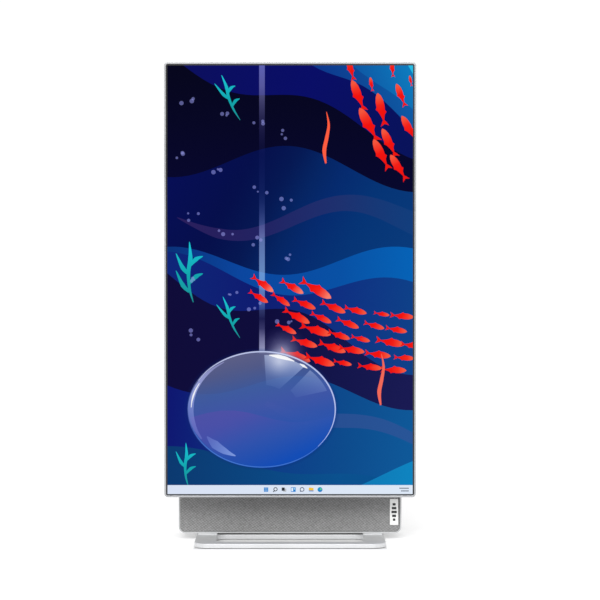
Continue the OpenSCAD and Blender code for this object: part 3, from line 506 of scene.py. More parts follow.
# Badge: a small stamped aluminium plate, powder-coated white, let into the cloth. Five inlaid dark
# bars of different lengths, like a level meter, take the place of a name.
badge_white = grained("white_powder_coat", "#E6E6E4", "#F2F2F0", 0.8, (0.38, 0.5), 0.02)
badge = block("badge_plate", badge_low, badge_high)
round_corners(badge, 1, 0.8, 3)
ease_edges(badge, 0.25, 3)
fit(badge, "base", badge_white, "badge_white", "badge")
ink = grained("black_enamel_inlay", "#141415", "#232324", 0.8, (0.3, 0.4), 0.01)
bars = []
badge_x = (badge_low.x + badge_high.x) / 2
bar_half, bar_pitch = 1.7, 5.5
for step, reach in enumerate((4.4, 6.6, 7.6, 5.6, 3.4)):
    z = badge_high.z - 7.5 - step * bar_pitch
    bar = block("bar", (badge_x - reach / 2, badge_low.y - 0.06, z - bar_half),
                (badge_x + reach / 2, badge_low.y + 0.2, z + bar_half))
    round_corners(bar, 1, 0.6, 3)
    bars.append(bar)
bars[0].name = "badge_marks"
join(*bars)
ease_edges(bars[0], 0, 0)
fit(bars[0], "base", ink, "badge_white")

# Rear panel: moulded ABS, painted a darker satin silver than the shell, so that its edge reads as a
# seam. It has a row of cooling slots above and a sunk field for the sockets below, and a countersunk
# screw holds each corner.
panel_paint = grained("dark_silver_painted_abs", "#989A9D", "#A4A6A9", 0.9, (0.36, 0.48), 0.015,
                      metallic=0.35)
cut_from, cut_to = back_high.y - 6, back_high.y + 2
slots_count, slot_tall, slot_wide = 25, 46, 3.2
slot_pitch = (shell_high.x * 2 - 70) / (slots_count - 1)
slot_top = shell_high.z - 20
port_floor = 27
ports = ((-96, 12, 6), (-72, 15.5, 6), (-50, 15.5, 6), (-25, 16.5, 14),
         (2, 14, 6.8), (22, 14, 6.8), (42, 14, 6.8), (60, 9.4, 3.8))
panel = block("rear_panel", (back_low.x, back_high.y - 4, back_low.z), back_high)
round_corners(panel, 1, 9, 10)
slot_cutters = []
for i in range(slots_count):
    x = (i - (slots_count - 1) / 2) * slot_pitch
    slot_cutters.append(block("slot", (x - slot_wide / 2, cut_from, slot_top - slot_tall),
                              (x + slot_wide / 2, cut_to, slot_top)))
    round_corners(slot_cutters[-1], 1, slot_wide / 2 - 0.01, 4)
cut(panel, join(*slot_cutters))
field = block("field", (-110, back_high.y - 0.8, port_floor - 6), (74, back_high.y + 1, port_floor + 20))
round_corners(field, 1, 4, 5)
cut(panel, field)
port_cutters = []
port_gap = 0.2
for x, wide, tall in ports:
    port_cutters.append(block("port", (x - wide / 2 - port_gap, cut_from, port_floor - port_gap),
                              (x + wide / 2 + port_gap, cut_to, port_floor + tall + port_gap)))
lock_x = shell_high.x - shell_wall - 22
lock = block("lock", (lock_x - 3.5, cut_from, port_floor + 4.5),
             (lock_x + 3.5, cut_to, port_floor + 7.5))
round_corners(lock, 1, 1, 3)
cut(panel, join(*port_cutters), lock)
screw_inset = 9
screw_marks = [(sx * (shell_high.x - screw_inset),
                (back_low.z + back_high.z) / 2 + sz * ((back_high.z - back_low.z) / 2 - screw_inset))
               for sx in (-1, 1) for sz in (-1, 1)]
for x, z in screw_marks:
    cut(panel, drum("recess", 2.7, back_high.y - 1.6, back_high.y + 1, (x, z), 1, 32))
ease_edges(panel, 0.3, 2)
board_posts = [drum("post", 3.5, back_low.y, back_high.y - 3.9, point, 1, 32)
               for point in ((-137.3, 28), (137.3, 28), (-41.3, 151), (137.3, 151))]
fit(join(panel, *board_posts), "base", panel_paint, "shell_silver", "back_panel")

# Rear panel screws: small socket screws of plated steel, sunk a little below the panel.
tips = []
for x, z in screw_marks:
    tip = drum("tip", 2.5, back_high.y - 1.6, back_high.y - 0.2, (x, z), 1, 32)
    cut(tip, drum("socket", 1.3, back_high.y - 1.0, back_high.y + 1, (x, z), 1, 6))
    ease_edges(tip, 0.15, 2)
    tips.append(tip)
tips[0].name = "rear_panel_screws"
fit(join(*tips), "base", screw_finish, "screw_steel", "back_screws")

# Rear sockets: shells of folded nickel-plated steel on a small board, each with a dark plastic
# tongue.
def sink(wall, *way):
    """In edit mode, insets the chosen faces by a wall and then moves them, both in mm."""
    bpy.ops.mesh.inset(thickness=wall * MM, depth=0)
    bpy.ops.mesh.extrude_region_move(TRANSFORM_OT_translate={"value": tuple(c * MM for c in way)})


port_steel = grained("nickel_plated_steel", "#A3A4A5", "#C0C1C1", 0.9, (0.2, 0.34), 0.01, metallic=1.0)
port_face = back_high.y - 1
shells, tongues = [], []
for x, wide, tall in ports:
    can = block("can", (x - wide / 2, port_face - 16, port_floor),
                (x + wide / 2, port_face, port_floor + tall))
    round_corners(can, 1, 0.9, 3)
    edit(can)
    choose(can, "faces", lambda middle, way: way.y > 0.9)
    sink(0.5, 0, -9, 0)
    leave()
    ease_edges(can, 0.12, 2)
    shells.append(can)
    if tall > 10:
        low = (x - wide / 3, port_face - 9, port_floor + tall - 2.6)
        high = (x + wide / 3, port_face - 3, port_floor + tall - 0.6)
    else:
        low = (x - wide / 4, port_face - 9.5, port_floor + tall * 0.42)
        high = (x + wide / 4, port_face - 2, port_floor + tall * 0.58)
    tongue = block("tongue", low, high)
    ease_edges(tongue, 0.2, 2)
    tongues.append(tongue)
shells[0].name = "rear_socket_shells"
tongues[0].name = "rear_socket_tongues"
fit(join(*shells), "base", port_steel, "port_steel", "rear_ports")
fit(join(*tongues), "base", black_moulding, "port_steel")
socket_board = block("rear_socket_board",
                     (ports[0][0] - 12, place_of("rear_ports")[0].y, port_floor - 1.6),
                     (ports[-1][0] + 10, back_high.y - 4, port_floor))
ease_edges(socket_board, 0.2, 1)
fit(socket_board, "base", solder_mask, "circuit_green")

# Side sockets: a USB-C shell of drawn steel with its tongue, and a black headphone socket with a
# bright spring ring at the mouth of its bore.
side_low = place_of("side_ports")[0]
type_c = block("side_socket", (side_low.x, jack_spot[0] - 1.8, type_c_z - 4.7),
               (side_low.x + 12, jack_spot[0] + 1.8, type_c_z + 4.7))
round_corners(type_c, 0, 1.7, 5)
edit(type_c)
choose(type_c, "faces", lambda middle, way: way.x < -0.9)
sink(0.4, 7, 0, 0)
leave()
ease_edges(type_c, 0.12, 2)
type_c_tongue = block("tongue", (side_low.x + 1, jack_spot[0] - 0.4, type_c_z - 2.6),
                      (side_low.x + 8, jack_spot[0] + 0.4, type_c_z + 2.6))
ease_edges(type_c_tongue, 0.15, 2)
saddle = block("saddle", (side_low.x + 4, side_low.y, type_c_z - 3),
               (side_low.x + 11, jack_spot[0] - 1.7, type_c_z + 3))
ease_edges(saddle, 0.3, 2)
fit(join(type_c, type_c_tongue, saddle), "base", port_steel, "port_steel", "side_ports")

jack = drum("headphone_socket_body", 3.9, jack_low.x, jack_high.x, jack_spot, 0, 48)
edit(jack)
choose(jack, "faces", lambda middle, way: way.x < -0.9)
sink(1.2, 0.3, 0, 0)
sink(0.9, 13.7, 0, 0)
leave()
jack_foot = block("jack_foot", (jack_low.x + 4, jack_low.y, jack_spot[1] - 3),
                  (jack_low.x + 14, jack_spot[0] - 2.2, jack_spot[1] + 3))
ease_edges(jack, 0.2, 2)
merge_corners(jack)
ease_edges(jack_foot, 0.3, 2)
fit(join(jack, jack_foot), "base", black_moulding, "speaker_black", "headphone_socket")

# Power button: a turned aluminium cap with a dished face, on a stem with a collar inside the shell.
button_metal = grained("turned_aluminium", "#C2C3C4", "#D6D7D8", 0.9, (0.22, 0.32), 0.01, metallic=1.0)
button = drum("power_button_cap", 5, button_high.x - 3.1, button_high.x, button_spot, 0, 64)
edit(button)
choose(button, "faces", lambda middle, way: way.x > 0.9)
bpy.ops.mesh.inset(thickness=0.9 * MM, depth=0)
bpy.ops.mesh.inset(thickness=1.2 * MM, depth=-0.25 * MM)
leave()
ease_edges(button, 0.25, 3, 20)
collar = drum("collar", 6.5, button_high.x - 4.6, button_high.x - 3.1, button_spot, 0, 48)
ease_edges(collar, 0.2, 2)
stem = drum("stem", 2, button_low.x, button_high.x - 4.6, button_spot, 0, 32)
ease_edges(stem, 0.2, 2)
fit(join(button, collar, stem), "power_button", button_metal, "button_metal", "power_button")

# Neck core: an extruded aluminium bar that stands on a flange inside the base, with two machined
# cheeks at its top for the tilt pins and a window between them for the cable.
neck_metal = grained("machined_aluminium", "#A9ABAD", "#C2C4C6", 1.2, (0.28, 0.4), 0.015, metallic=1.0,
                     stretch=(1, 1, 0.12))
bracket_low, bracket_high = place_of("tilt_bracket")
washer_low, washer_high = place_of("tilt_washers")
pivot_z = (bracket_low.z + bracket_high.z) / 2
tilt_y = (washer_low.y + washer_high.y) / 2
bar_front, bar_back = 3, 15
half_core = 39
core = block("neck_bar", (-half_core, bar_front, core_low.z), (half_core, bar_back, core_high.z))
cut(core, block("window", (-15, bar_front - 1, pivot_z - 9), (15, bar_back + 1, pivot_z + 5)))
ease_edges(core, 0.8, 3)
flange = block("flange", (core_low.x, screw_low.y - land_past, core_low.z),
               (core_high.x, core_high.y, core_low.z + 6))
round_corners(flange, 2, 3, 4)
ease_edges(flange, 0.5, 2)
cheeks = []
for side in (-1, 1):
    inner, outer = sorted((side * washer_high.x, side * half_core))
    cheek = block("cheek", (inner, tilt_y - 12, pivot_z - 12), (outer, bar_front + 1, pivot_z + 12))
    round_corners(cheek, 0, 11.9, 14, lambda middle: middle.y < tilt_y)
    ease_edges(cheek, 0.8, 3)
    cheeks.append(cheek)
fit(join(core, flange, *cheeks), "base", neck_metal, "neck_metal", "neck_core")

# Neck sleeve: two ABS mouldings painted silver that close round the core. The front half ends
# under the hinge with a small roof, and the rear half rises over it as a hood. A fine seam parts them.
sleeve_paint = grained("silver_painted_abs_sleeve", "#B9BABB", "#C8C9CA", 0.9, (0.34, 0.46), 0.015,
                       metallic=0.35)
front_low, front_high = place_of("neck_front_cover")
rear_low, rear_high = place_of("neck_rear_cover")
seam = 0.12
for name, top, clear_low, node in (("neck_sleeve_front", front_high.z, False, "neck_front_cover"),
                                   ("neck_sleeve_rear", rear_high.z, True, "neck_rear_cover")):
    sleeve = block(name, (front_low.x, front_low.y, front_low.z), (front_high.x, rear_high.y, top))
    round_corners(sleeve, 2, 7, 10)
    edit(sleeve)
    if clear_low:
        choose(sleeve, "edges", lambda middle, way: middle.z > top - 0.01)
        bpy.ops.mesh.bevel(offset=2.5 * MM, segments=5, affect="EDGES")
    choose(sleeve, "faces", lambda middle, way: way.z < -0.9 or (way.z > 0.9 and not clear_low))
    bpy.ops.mesh.delete(type="FACE")
    bpy.ops.mesh.select_all(action="SELECT")
    bpy.ops.mesh.bisect(plane_co=(0, (rear_low.y + (seam if clear_low else -seam)) * MM, 0),
                        plane_no=(0, 1, 0), clear_inner=clear_low, clear_outer=not clear_low)
    leave()
    shape_with(sleeve, "SOLIDIFY", thickness=2 * MM, offset=-1, use_even_offset=True)
    if not clear_low:
        roof = block("roof", (-half_core, front_low.y + 1, top - 2), (half_core, bar_front - 0.05, top))
        join(sleeve, roof)
    ease_edges(sleeve, 0.35, 3)
    fit(sleeve, "base", sleeve_paint, "sleeve_silver", node)

# Cables: flat ribbons with white polyester film over tinned wires, and a black braided bundle
# through the hollow pivot. The wires show as fine lines along each ribbon.
film_ribbon = grained("polyester_ribbon_cable", "#DAD9D2", "#F0EFEA", 1.0, (0.3, 0.45), 0.05,
                      stretch=(2.5, 0.2, 0.05))
braid = grained("black_polyester_braid", "#0E0E0F", "#232325", 0.9, (0.6, 0.8), 0.08, stretch=(1, 0.6, 1))
dress(film_ribbon, "neck_cable", "panel_cable")
dress(braid, "hinge_cable")

# Tilt pins and washers: ground steel pins in ivory acetal washers, a press fit in the cheeks.
ground_steel = grained("ground_steel", "#9C9D9F", "#B9BABC", 1.0, (0.16, 0.28), 0.008, metallic=1.0,
                       stretch=(0.2, 1, 1))
acetal = grained("ivory_acetal", "#DDD8C8", "#EDE9DC", 1.2, (0.35, 0.5), 0.02)
dress(ground_steel, "tilt_pins", "stop_pin")
dress(acetal, "tilt_washers", "pivot_washers")

# Tilt nuts: round aluminium caps over the pin ends, turned, with a stepped rim and a hexagon key
# socket.
nut_low, nut_high = place_of("tilt_nuts")
cap_metal = grained("turned_satin_aluminium", "#B5B7B9", "#CDCFD1", 0.9, (0.22, 0.34), 0.01, metallic=1.0)
caps = []
for side in (-1, 1):
    inner, outer = side * half_core, side * nut_high.x
    cap = drum("cap", (nut_high.z - nut_low.z) / 2, min(inner, outer), max(inner, outer),
               (tilt_y, pivot_z), 0, 72)
    edit(cap)
    choose(cap, "faces", lambda middle, way: way.x * side > 0.9)
    bpy.ops.mesh.inset(thickness=1.6 * MM, depth=0)
    bpy.ops.mesh.inset(thickness=0.3 * MM, depth=-0.35 * MM)
    leave()
    socket_low, socket_high = sorted((outer - side * 0.9, outer + side))
    cut(cap, drum("key", 2.6, socket_low, socket_high, (tilt_y, pivot_z), 0, 6))
    ease_edges(cap, 0.3, 3, 24)
    merge_corners(cap)
    caps.append(cap)
caps[0].name = "tilt_caps"
fit(join(*caps), "base", cap_metal, "neck_metal", "tilt_nuts")

# Tilt bracket: a thick steel disc with two welded ears that hang on the tilt pins, phosphated grey.
hinge_steel = grained("phosphated_steel", "#6F7173", "#8A8C8E", 1.1, (0.34, 0.5), 0.02, metallic=0.9)
disc_front, disc_back = bracket_low.y, bracket_low.y + 3.5
disc = drum("bracket_disc", (bracket_high.z - bracket_low.z) / 2, disc_front, disc_back, (0, pivot_z), 1, 96)
cut(disc, drum("bore", 9, disc_front - 1, disc_back + 1, (0, pivot_z), 1, 48))
ease_edges(disc, 0.5, 2)
ears = []
for side in (-1, 1):
    inner, outer = sorted((side * 24, side * 29.95))
    ear = block("ear", (inner, disc_back - 1, pivot_z - 11), (outer, tilt_y + 11, pivot_z + 11))
    round_corners(ear, 0, 10.9, 14, lambda middle: middle.y > tilt_y)
    cut(ear, drum("bore", 5.05, inner - 1, outer + 1, (tilt_y, pivot_z), 0, 40))
    ease_edges(ear, 0.5, 2)
    ears.append(ear)
fit(join(disc, *ears), "hinge_head", hinge_steel, "hinge_steel", "tilt_bracket")

# Barrel cover: a bent half tube of grey ABS that hides the cable between the ears.
barrel_low, barrel_high = place_of("barrel_cover")
barrel_paint = grained("grey_moulded_abs", "#8D8E90", "#9C9D9F", 0.9, (0.4, 0.55), 0.02)
barrel_radius = barrel_high.z - pivot_z
barrel = drum("hinge_barrel_cover", barrel_radius, barrel_low.x + 0.3, barrel_high.x - 0.3,
              (tilt_y, pivot_z), 0, 96)
edit(barrel)
choose(barrel, "faces", lambda middle, way: abs(way.x) > 0.9)
bpy.ops.mesh.delete(type="FACE")
for co, no in (((0, 0, pivot_z - 2), (0, 0, 1)), ((0, tilt_y - 6, 0), (0, 1, 0))):
    bpy.ops.mesh.select_all(action="SELECT")
    bpy.ops.mesh.bisect(plane_co=[c * MM for c in co], plane_no=no, clear_inner=True)
leave()
shape_with(barrel, "SOLIDIFY", thickness=1.5 * MM, offset=-1, use_even_offset=True)
tabs = [block("tab", (min(x, x - side * 3), tilt_y - 5, pivot_z + 8.2),
              (max(x, x - side * 3), tilt_y + 5, pivot_z + 10.8))
        for side, x in ((-1, barrel_low.x), (1, barrel_high.x))]
join(barrel, *tabs)
ease_edges(barrel, 0.3, 2)
fit(barrel, "hinge_head", barrel_paint, "hinge_silver", "barrel_cover")

# Pivot cover: a deep round cup of painted ABS with a rounded rim, clipped over the bracket's disc.
cup_low, cup_high = place_of("pivot_cover")
cup_paint = grained("silver_painted_abs_cup", "#B4B5B6", "#C3C4C5", 0.9, (0.32, 0.44), 0.015,
                    metallic=0.35)
cup_radius = (cup_high.z - cup_low.z) / 2
cup_wall, cup_hole = 2, 38.7
cup = drum("pivot_cup", cup_radius, cup_low.y, cup_high.y, (0, pivot_z), 1, 128)
for toward, floor_y in ((1, disc_back), (-1, disc_front)):
    edit(cup)
    choose(cup, "faces", lambda middle, way: way.y * toward > 0.9)
    sink(cup_wall, 0, floor_y - (cup_high.y if toward > 0 else cup_low.y), 0)
    bpy.ops.mesh.inset(thickness=(cup_radius - cup_wall - cup_hole) * MM, depth=0)
    leave()
edit(cup)
choose(cup, "faces", lambda middle, way: abs(way.y) > 0.9 and abs(middle.x) < 1
       and abs(middle.z - pivot_z) < 1)
bpy.ops.mesh.bridge_edge_loops()
choose(cup, "edges", lambda middle, way: middle.y > cup_high.y - 0.01
       and Vector((middle.x, middle.z - pivot_z)).length > cup_radius - 1)
bpy.ops.mesh.bevel(offset=1.4 * MM, segments=5, affect="EDGES")
leave()
ease_edges(cup, 0.3, 2)
fit(cup, "hinge_head", cup_paint, "hinge_silver", "pivot_cover")

# Pivot: a steel shaft with a flange, a thin lock nut and a hub, all turned and lightly oiled.
turned_steel = grained("turned_oiled_steel", "#6A6C6F", "#86888B", 0.9, (0.2, 0.34), 0.01,
                       metallic=1.0, stretch=(1, 3, 1))
dress(turned_steel, "pivot_shaft", "pivot_nut", "pivot_hub", "hinge_plate_screws")
dress(hinge_steel, "hinge_plate")

# Pivot rotor: a brushed aluminium disc on the back of the head, with the quarter-circle groove
# that the stop pin runs in.
rotor_low, rotor_high = place_of("pivot_rotor")
brushed = grained("brushed_aluminium", "#B2B4B6", "#CBCDCF", 0.8, (0.24, 0.38), 0.015, metallic=1.0,
                  stretch=(0.08, 1, 1))
rotor_radius = (rotor_high.z - rotor_low.z) / 2
rotor = drum("pivot_rotor_disc", rotor_radius, rotor_low.y, rotor_high.y, (0, pivot_z), 1, 128)
cut(rotor, drum("bore", 19, rotor_low.y - 1, rotor_high.y + 1, (0, pivot_z), 1, 72))
track = 29.5
end_angle = math.asin(2.4 / track)
bpy.ops.object.select_all(action="DESELECT")
bpy.ops.mesh.primitive_plane_add(size=MM, rotation=(0, end_angle, 0),
                                 location=(track * math.cos(end_angle) * MM, (rotor_high.y - 1) * MM,
                                           (pivot_z - track * math.sin(end_angle)) * MM))
groove = bpy.context.object
groove.scale = (4.8, 4, 1)
bpy.ops.object.transform_apply(location=True, rotation=True, scale=True)
edit(groove)
bpy.ops.mesh.select_all(action="SELECT")
bpy.ops.mesh.spin(steps=28, angle=-(math.pi / 2 + 2 * end_angle), center=(0, 0, pivot_z * MM),
                  axis=(0, 1, 0))
bpy.ops.mesh.select_all(action="SELECT")
bpy.ops.mesh.remove_doubles(threshold=0.01 * MM)
bpy.ops.mesh.normals_make_consistent(inside=False)
leave()
cut(rotor, groove)
ease_edges(rotor, 0.5, 2)
fit(rotor, "screen_head", brushed, "hinge_silver", "pivot_rotor")

# Rim of the head: an extruded and mitred aluminium frame, bead-blasted, silver anodised, with a
# narrow polished chamfer at the front edge.
rim_metal = grained("anodised_aluminium_rim", "#A9AAAC", "#BCBDBF", 1.0, (0.3, 0.42), 0.01, metallic=0.9)
rim_low, rim_high = place_of("screen_rim")
rim = block("head_rim", rim_low, rim_high)
round_corners(rim, 1, 5.2, 8)
hollow(rim, 2.5)
ease_edges(rim, 0.35, 3)
fit(rim, "screen_head", rim_metal, "rim_metal", "screen_rim")

# Border: a printed black frame on the front of the glass, between the rim and the picture.
border_ink = grained("black_printed_border", "#0B0B0D", "#161618", 1.0, (0.3, 0.42), 0.005)
border_low, border_high = place_of("border_frame")
border = block("glass_border", border_low, border_high)
round_corners(border, 1, 2.2, 6)
border_wide = 1.9
hollow(border, border_wide)
ease_edges(border, 0.05, 1)
fit(border, "screen_head", border_ink, "border_black", "border_frame")

# Rear cover: one ABS moulding, 1.6 mm thick, painted silver. Its edge tapers in to the rim, and a
# raised middle holds the electronics and has a hole for the pivot.
cover_paint = grained("silver_painted_abs_cover", "#9C9EA1", "#A7A9AC", 0.9, (0.34, 0.46), 0.015,
                      metallic=0.35)
cover_low, cover_high = place_of("rear_cover")
cover = block("head_rear_cover", cover_low, (cover_high.x, cover_low.y + 1, cover_high.z))
round_corners(cover, 1, 4.9, 8)
edit(cover)
choose(cover, "faces", lambda middle, way: way.y > 0.9)
bpy.ops.mesh.inset(thickness=4.8 * MM, depth=2 * MM)
leave()
bulge_wide, bulge_tall, bulge_slope = 190, 340, 18
bulge = block("bulge", (-bulge_wide / 2 - bulge_slope, cover_low.y + 0.5,
                        pivot_z - bulge_tall / 2 - bulge_slope),
              (bulge_wide / 2 + bulge_slope, cover_low.y + 3, pivot_z + bulge_tall / 2 + bulge_slope))
round_corners(bulge, 1, 38, 14)
edit(bulge)
choose(bulge, "faces", lambda middle, way: way.y > 0.9)
bpy.ops.mesh.inset(thickness=bulge_slope * MM, depth=(cover_high.y - cover_low.y - 3) * MM)
leave()
shape_with(cover, "BOOLEAN", operation="UNION", object=bulge, solver="EXACT")
bpy.data.objects.remove(bulge)
edit(cover)
choose(cover, "faces", lambda middle, way: way.y < -0.9)
bpy.ops.mesh.delete(type="FACE")
leave()
shape_with(cover, "SOLIDIFY", thickness=1.6 * MM, offset=-1, use_even_offset=True)
cut(cover, drum("bore", 20.5, cover_high.y - 4, cover_high.y + 1, (0, pivot_z), 1, 96))
ease_edges(cover, 1.2, 4, 12)
fit(cover, "screen_head", cover_paint, "cover_silver", "rear_cover")

# Panel tray and the sheets in it: pressed zinc-coated steel, white films, a clear acrylic light guide
# printed with fine dots, and a strip of yellow phosphor LEDs.
dress(grained("pressed_zinc_tray", "#A6A8AA", "#BFC1C3", 2.0, (0.3, 0.5), 0.02, metallic=1.0),
      "panel_tray")
dress(grained("matt_white_film", "#E9E9E6", "#F6F6F4", 1.0, (0.5, 0.7), 0.01),
      "optical_films", "reflector_sheet")
dress(grained("dotted_acrylic", "#D5E2E8", "#EDF5F8", 0.9, (0.05, 0.15), 0.01,
              Transmission_Weight=0.6), "light_guide")
dress(grained("phosphor_led_strip", "#D9B23A", "#F0E2B0", 4.0, (0.4, 0.6), 0.05), "led_bar")
dress(solder_mask, "timing_board")

# Screen: a sandwich of two glass sheets with a matt anti-glare film, lit from behind. It shows a plain
# sea picture drawn by rule: waves of blue water, small fish, weed, a beam of light and a glass bubble,
# with a bar of small signs along its bottom edge. The picture is held in the face itself: each shape is an
# outline on the glass, and each corner of the mesh carries the colour of the shapes laid over it.
cell_low, cell_high = place_of("lcd_cell")
view_left, view_top = border_low.x + border_wide, border_high.z - border_wide
view_wide, view_tall = -2 * view_left, 2 * (view_top - pivot_z)


def spot(u, v):
    """A place on the picture, in shares from its left and top edges, as X and Z in mm."""
    return Vector((view_left + u * view_wide, view_top - v * view_tall))


def flowing(points, closed=False, steps=7):
    """A smooth line through points (Catmull-Rom)."""
    count = len(points)
    made = []
    for i in range(count if closed else count - 1):
        pick = [points[(i + k) % count] if closed else points[min(max(i + k, 0), count - 1)]
                for k in (-1, 0, 1, 2)]
        for step in range(steps):
            t = step / steps
            made.append(0.5 * (2 * pick[1] + (pick[2] - pick[0]) * t
                               + (2 * pick[0] - 5 * pick[1] + 4 * pick[2] - pick[3]) * t ** 2
                               + (3 * pick[1] - pick[0] - 3 * pick[2] + pick[3]) * t ** 3))
    return made if closed else made + [points[-1]]


def wash(stops, begin=(0, 0), end=(0, 1)):
    """A paint whose colour and strength run through stops (share of the way, colour, strength)."""
    start, along = spot(*begin), spot(*end) - spot(*begin)
    keys = [(t, shares(code) + [strength]) for t, code, strength in stops]

    def paint(place):
        t = min(max((place - start).dot(along) / along.length_squared, 0), 1)
        for (t0, low), (t1, high) in zip(keys, keys[1:]):
            if t <= t1:
                share = max((t - t0) / (t1 - t0), 0)
                return [a + (b - a) * share for a, b in zip(low, high)]
        return keys[-1][1]
    return paint


def flat(code, strength=1.0):
    return wash([(0, code, strength), (1, code, strength)])


shapes = []


def lay(outline, paint):
    """Lays one painted outline over the picture, turned so that it runs anticlockwise."""
    area = sum(a.x * b.y - b.x * a.y for a, b in zip(outline, outline[1:] + outline[:1]))
    shapes.append((outline if area > 0 else outline[::-1], paint))


def ribbon(points, widths, paint):
    """A strip along a flowing line; widths in mm are given at its points."""
    line = flowing(points, steps=6)
    left, right = [], []
    for i, place in enumerate(line):
        way = (line[min(i + 1, len(line) - 1)] - line[max(i - 1, 0)]).normalized()
        part = i / (len(line) - 1) * (len(widths) - 1)
        low = min(int(part), len(widths) - 2)
        half = (widths[low] + (widths[low + 1] - widths[low]) * (part - low)) / 2
        left.append(place + Vector((-way.y, way.x)) * half)
        right.append(place - Vector((-way.y, way.x)) * half)
    lay(left + right[::-1], paint)


def disc(u, v, radius, paint, sides=16):
    lay([spot(u, v) + radius * Vector((math.cos(a), math.sin(a)))
         for a in [2 * math.pi * i / sides for i in range(sides)]], paint)


# Shapes that fill the picture run a little past its edges, and the glass is cut out of them
above, below = -0.03, 1.03
before, beyond = -0.03, 1.03


def band(left, right, top, bottom, paint):
    """Lays an upright rectangle, in shares of the picture."""
    lay([spot(left, top), spot(right, top), spot(right, bottom), spot(left, bottom)], paint)


def crest(left, right, height, waves, phase, begin=before):
    """A wave line between a level at each side edge; only its part on the picture is kept."""
    steps = [begin + (beyond - begin) * i / 36 for i in range(37)]
    line = [(u, left + (right - left) * u + height * math.sin(2 * math.pi * (waves * u + phase)))
            for u in steps]
    return [spot(u, v) for u, v in line if above < v < below]


def flood(line, edge, paint):
    """Covers the picture from a wave line to its top or bottom edge."""
    edge_z = spot(0, edge).y
    lay(line + [Vector((line[-1].x, edge_z)), Vector((line[0].x, edge_z))], paint)


def glow(u, v, radius, code, strength):
    """A round soft light; four empty rings inside it give the mesh corners to fade over."""
    tone, middle = shares(code), spot(u, v)
    disc(u, v, radius,
         lambda place: tone + [strength * max(1 - (place - middle).length / radius, 0) ** 1.6], 28)
    for share in (0.2, 0.4, 0.6, 0.8):
        disc(u, v, radius * share, flat(code, 0.0), 20)


# Deep water, and the bluer swells that hang from the top edge, brightest in the right corner
band(before, beyond, above, below,
     wash([(0, "#02021A", 1), (0.25, "#03032A", 1), (0.6, "#0A0838", 1), (1, "#0B1048", 1)]))
flood(crest(-0.02, 0.19, 0.028, 1.3, 0.95), above,
      wash([(0, "#070B5E", 1), (0.5, "#050A66", 1), (1, "#04105A", 1)], (0.1, 0), (1, 0.18)))
flood(crest(-0.24, 0.14, 0.016, 2.0, 0.1), above,
      wash([(0, "#08328A", 1), (0.55, "#0A4C98", 1), (1, "#0A62AC", 1)], (0.62, 0.08), (1, 0)))
flood(crest(-0.37, 0.11, 0.008, 2.4, 0.4), above,
      wash([(0, "#0A58A4", 1), (1, "#0A7EC0", 1)], (0.8, 0.05), (1, 0)))
flood(crest(-0.9, 0.02, 0.004, 3.0, 0.0), above, flat("#27C4EA", 0.9))

# Layers of water below it, each a wave line that covers what lies under it, with two mauve currents
flood(crest(0.215, 0.25, -0.045, 1.0, 0.75), below,
      wash([(0, "#020A54", 1), (0.25, "#010B4A", 1), (0.4, "#011652", 1), (0.5, "#012362", 1),
            (0.6, "#01296E", 1), (0.75, "#013375", 1), (1, "#053A7A", 1)], (0, 0.28), (0.9, 0.55)))
ribbon(crest(0.358, 0.358, 0.038, 1.1, -0.06, 0.04)[::3], (0.6, 14, 17, 19, 22, 26, 32),
       wash([(0, "#35225E", 0.8), (0.4, "#2A2466", 0.75), (0.7, "#20306E", 0.85),
             (1, "#16407E", 0.6)], (0, 0.35), (1, 0.35)))
flood(crest(0.455, 0.455, 0.033, 1.1, -0.27), below,
      wash([(0, "#053078", 1), (0.3, "#06459E", 1), (0.7, "#0350A4", 1),
            (1, "#0162B6", 1)], (0, 0.45), (1, 0.45)))
flood(crest(0.468, 0.535, 0.035, 1.1, -0.27), below,
      wash([(0, "#0A2478", 1), (0.35, "#0B1A70", 1), (0.65, "#0B2C80", 1),
            (1, "#0A4088", 1)], (0, 0.55), (1, 0.6)))
flood(crest(0.49, 0.70, 0.03, 1.4, -0.03), below,
      wash([(0, "#0C0738", 1), (0.4, "#0A083A", 1), (0.7, "#10124A", 1),
            (1, "#171852", 1)], (0, 0.6), (1, 0.72)))
flood(crest(0.73, 0.775, 0.03, 1.2, 0.09), below,
      wash([(0, "#0A1470", 1), (0.4, "#083A86", 1), (0.72, "#084A8C", 1),
            (1, "#0A5898", 1)], (0, 0.8), (1, 0.86)))
ribbon(crest(0.72, 0.875, 0.016, 1.5, 0.45, 0.4)[::3], (6, 18, 20, 18, 14), flat("#3A5296", 0.6))
flood(crest(0.895, 0.985, 0.012, 1.4, 0.6), below,
      wash([(0, "#06386F", 1), (1, "#05508E", 1)], (0, 0.95), (0.7, 0.95)))
flood(crest(1.10, 0.935, 0.015, 1.2, 0.45), below,
      wash([(0, "#0A70AC", 1), (1, "#0A84C0", 1)], (0.64, 0.96), (1, 0.96)))

# A straight beam of light from above, brighter in places
band(0.374, 0.397, above, 0.672,
     wash([(0, "#8C90DC", 0.64), (0.08, "#8684BC", 0.62), (0.13, "#6C6AA0", 0.55),
           (0.20, "#4A4880", 0.4), (0.27, "#2C2C6C", 0.25), (0.32, "#1C2A70", 0.12),
           (0.46, "#3A4C90", 0.2), (0.56, "#7C86C8", 0.45), (0.62, "#90A4DC", 0.62),
           (0.74, "#9AC0F0", 0.66), (0.82, "#8AB0E4", 0.6), (0.9, "#34386E", 0.3),
           (0.96, "#A0A0C8", 0.62), (1, "#B4B8DC", 0.75)], (0, 0), (0, 0.66)))


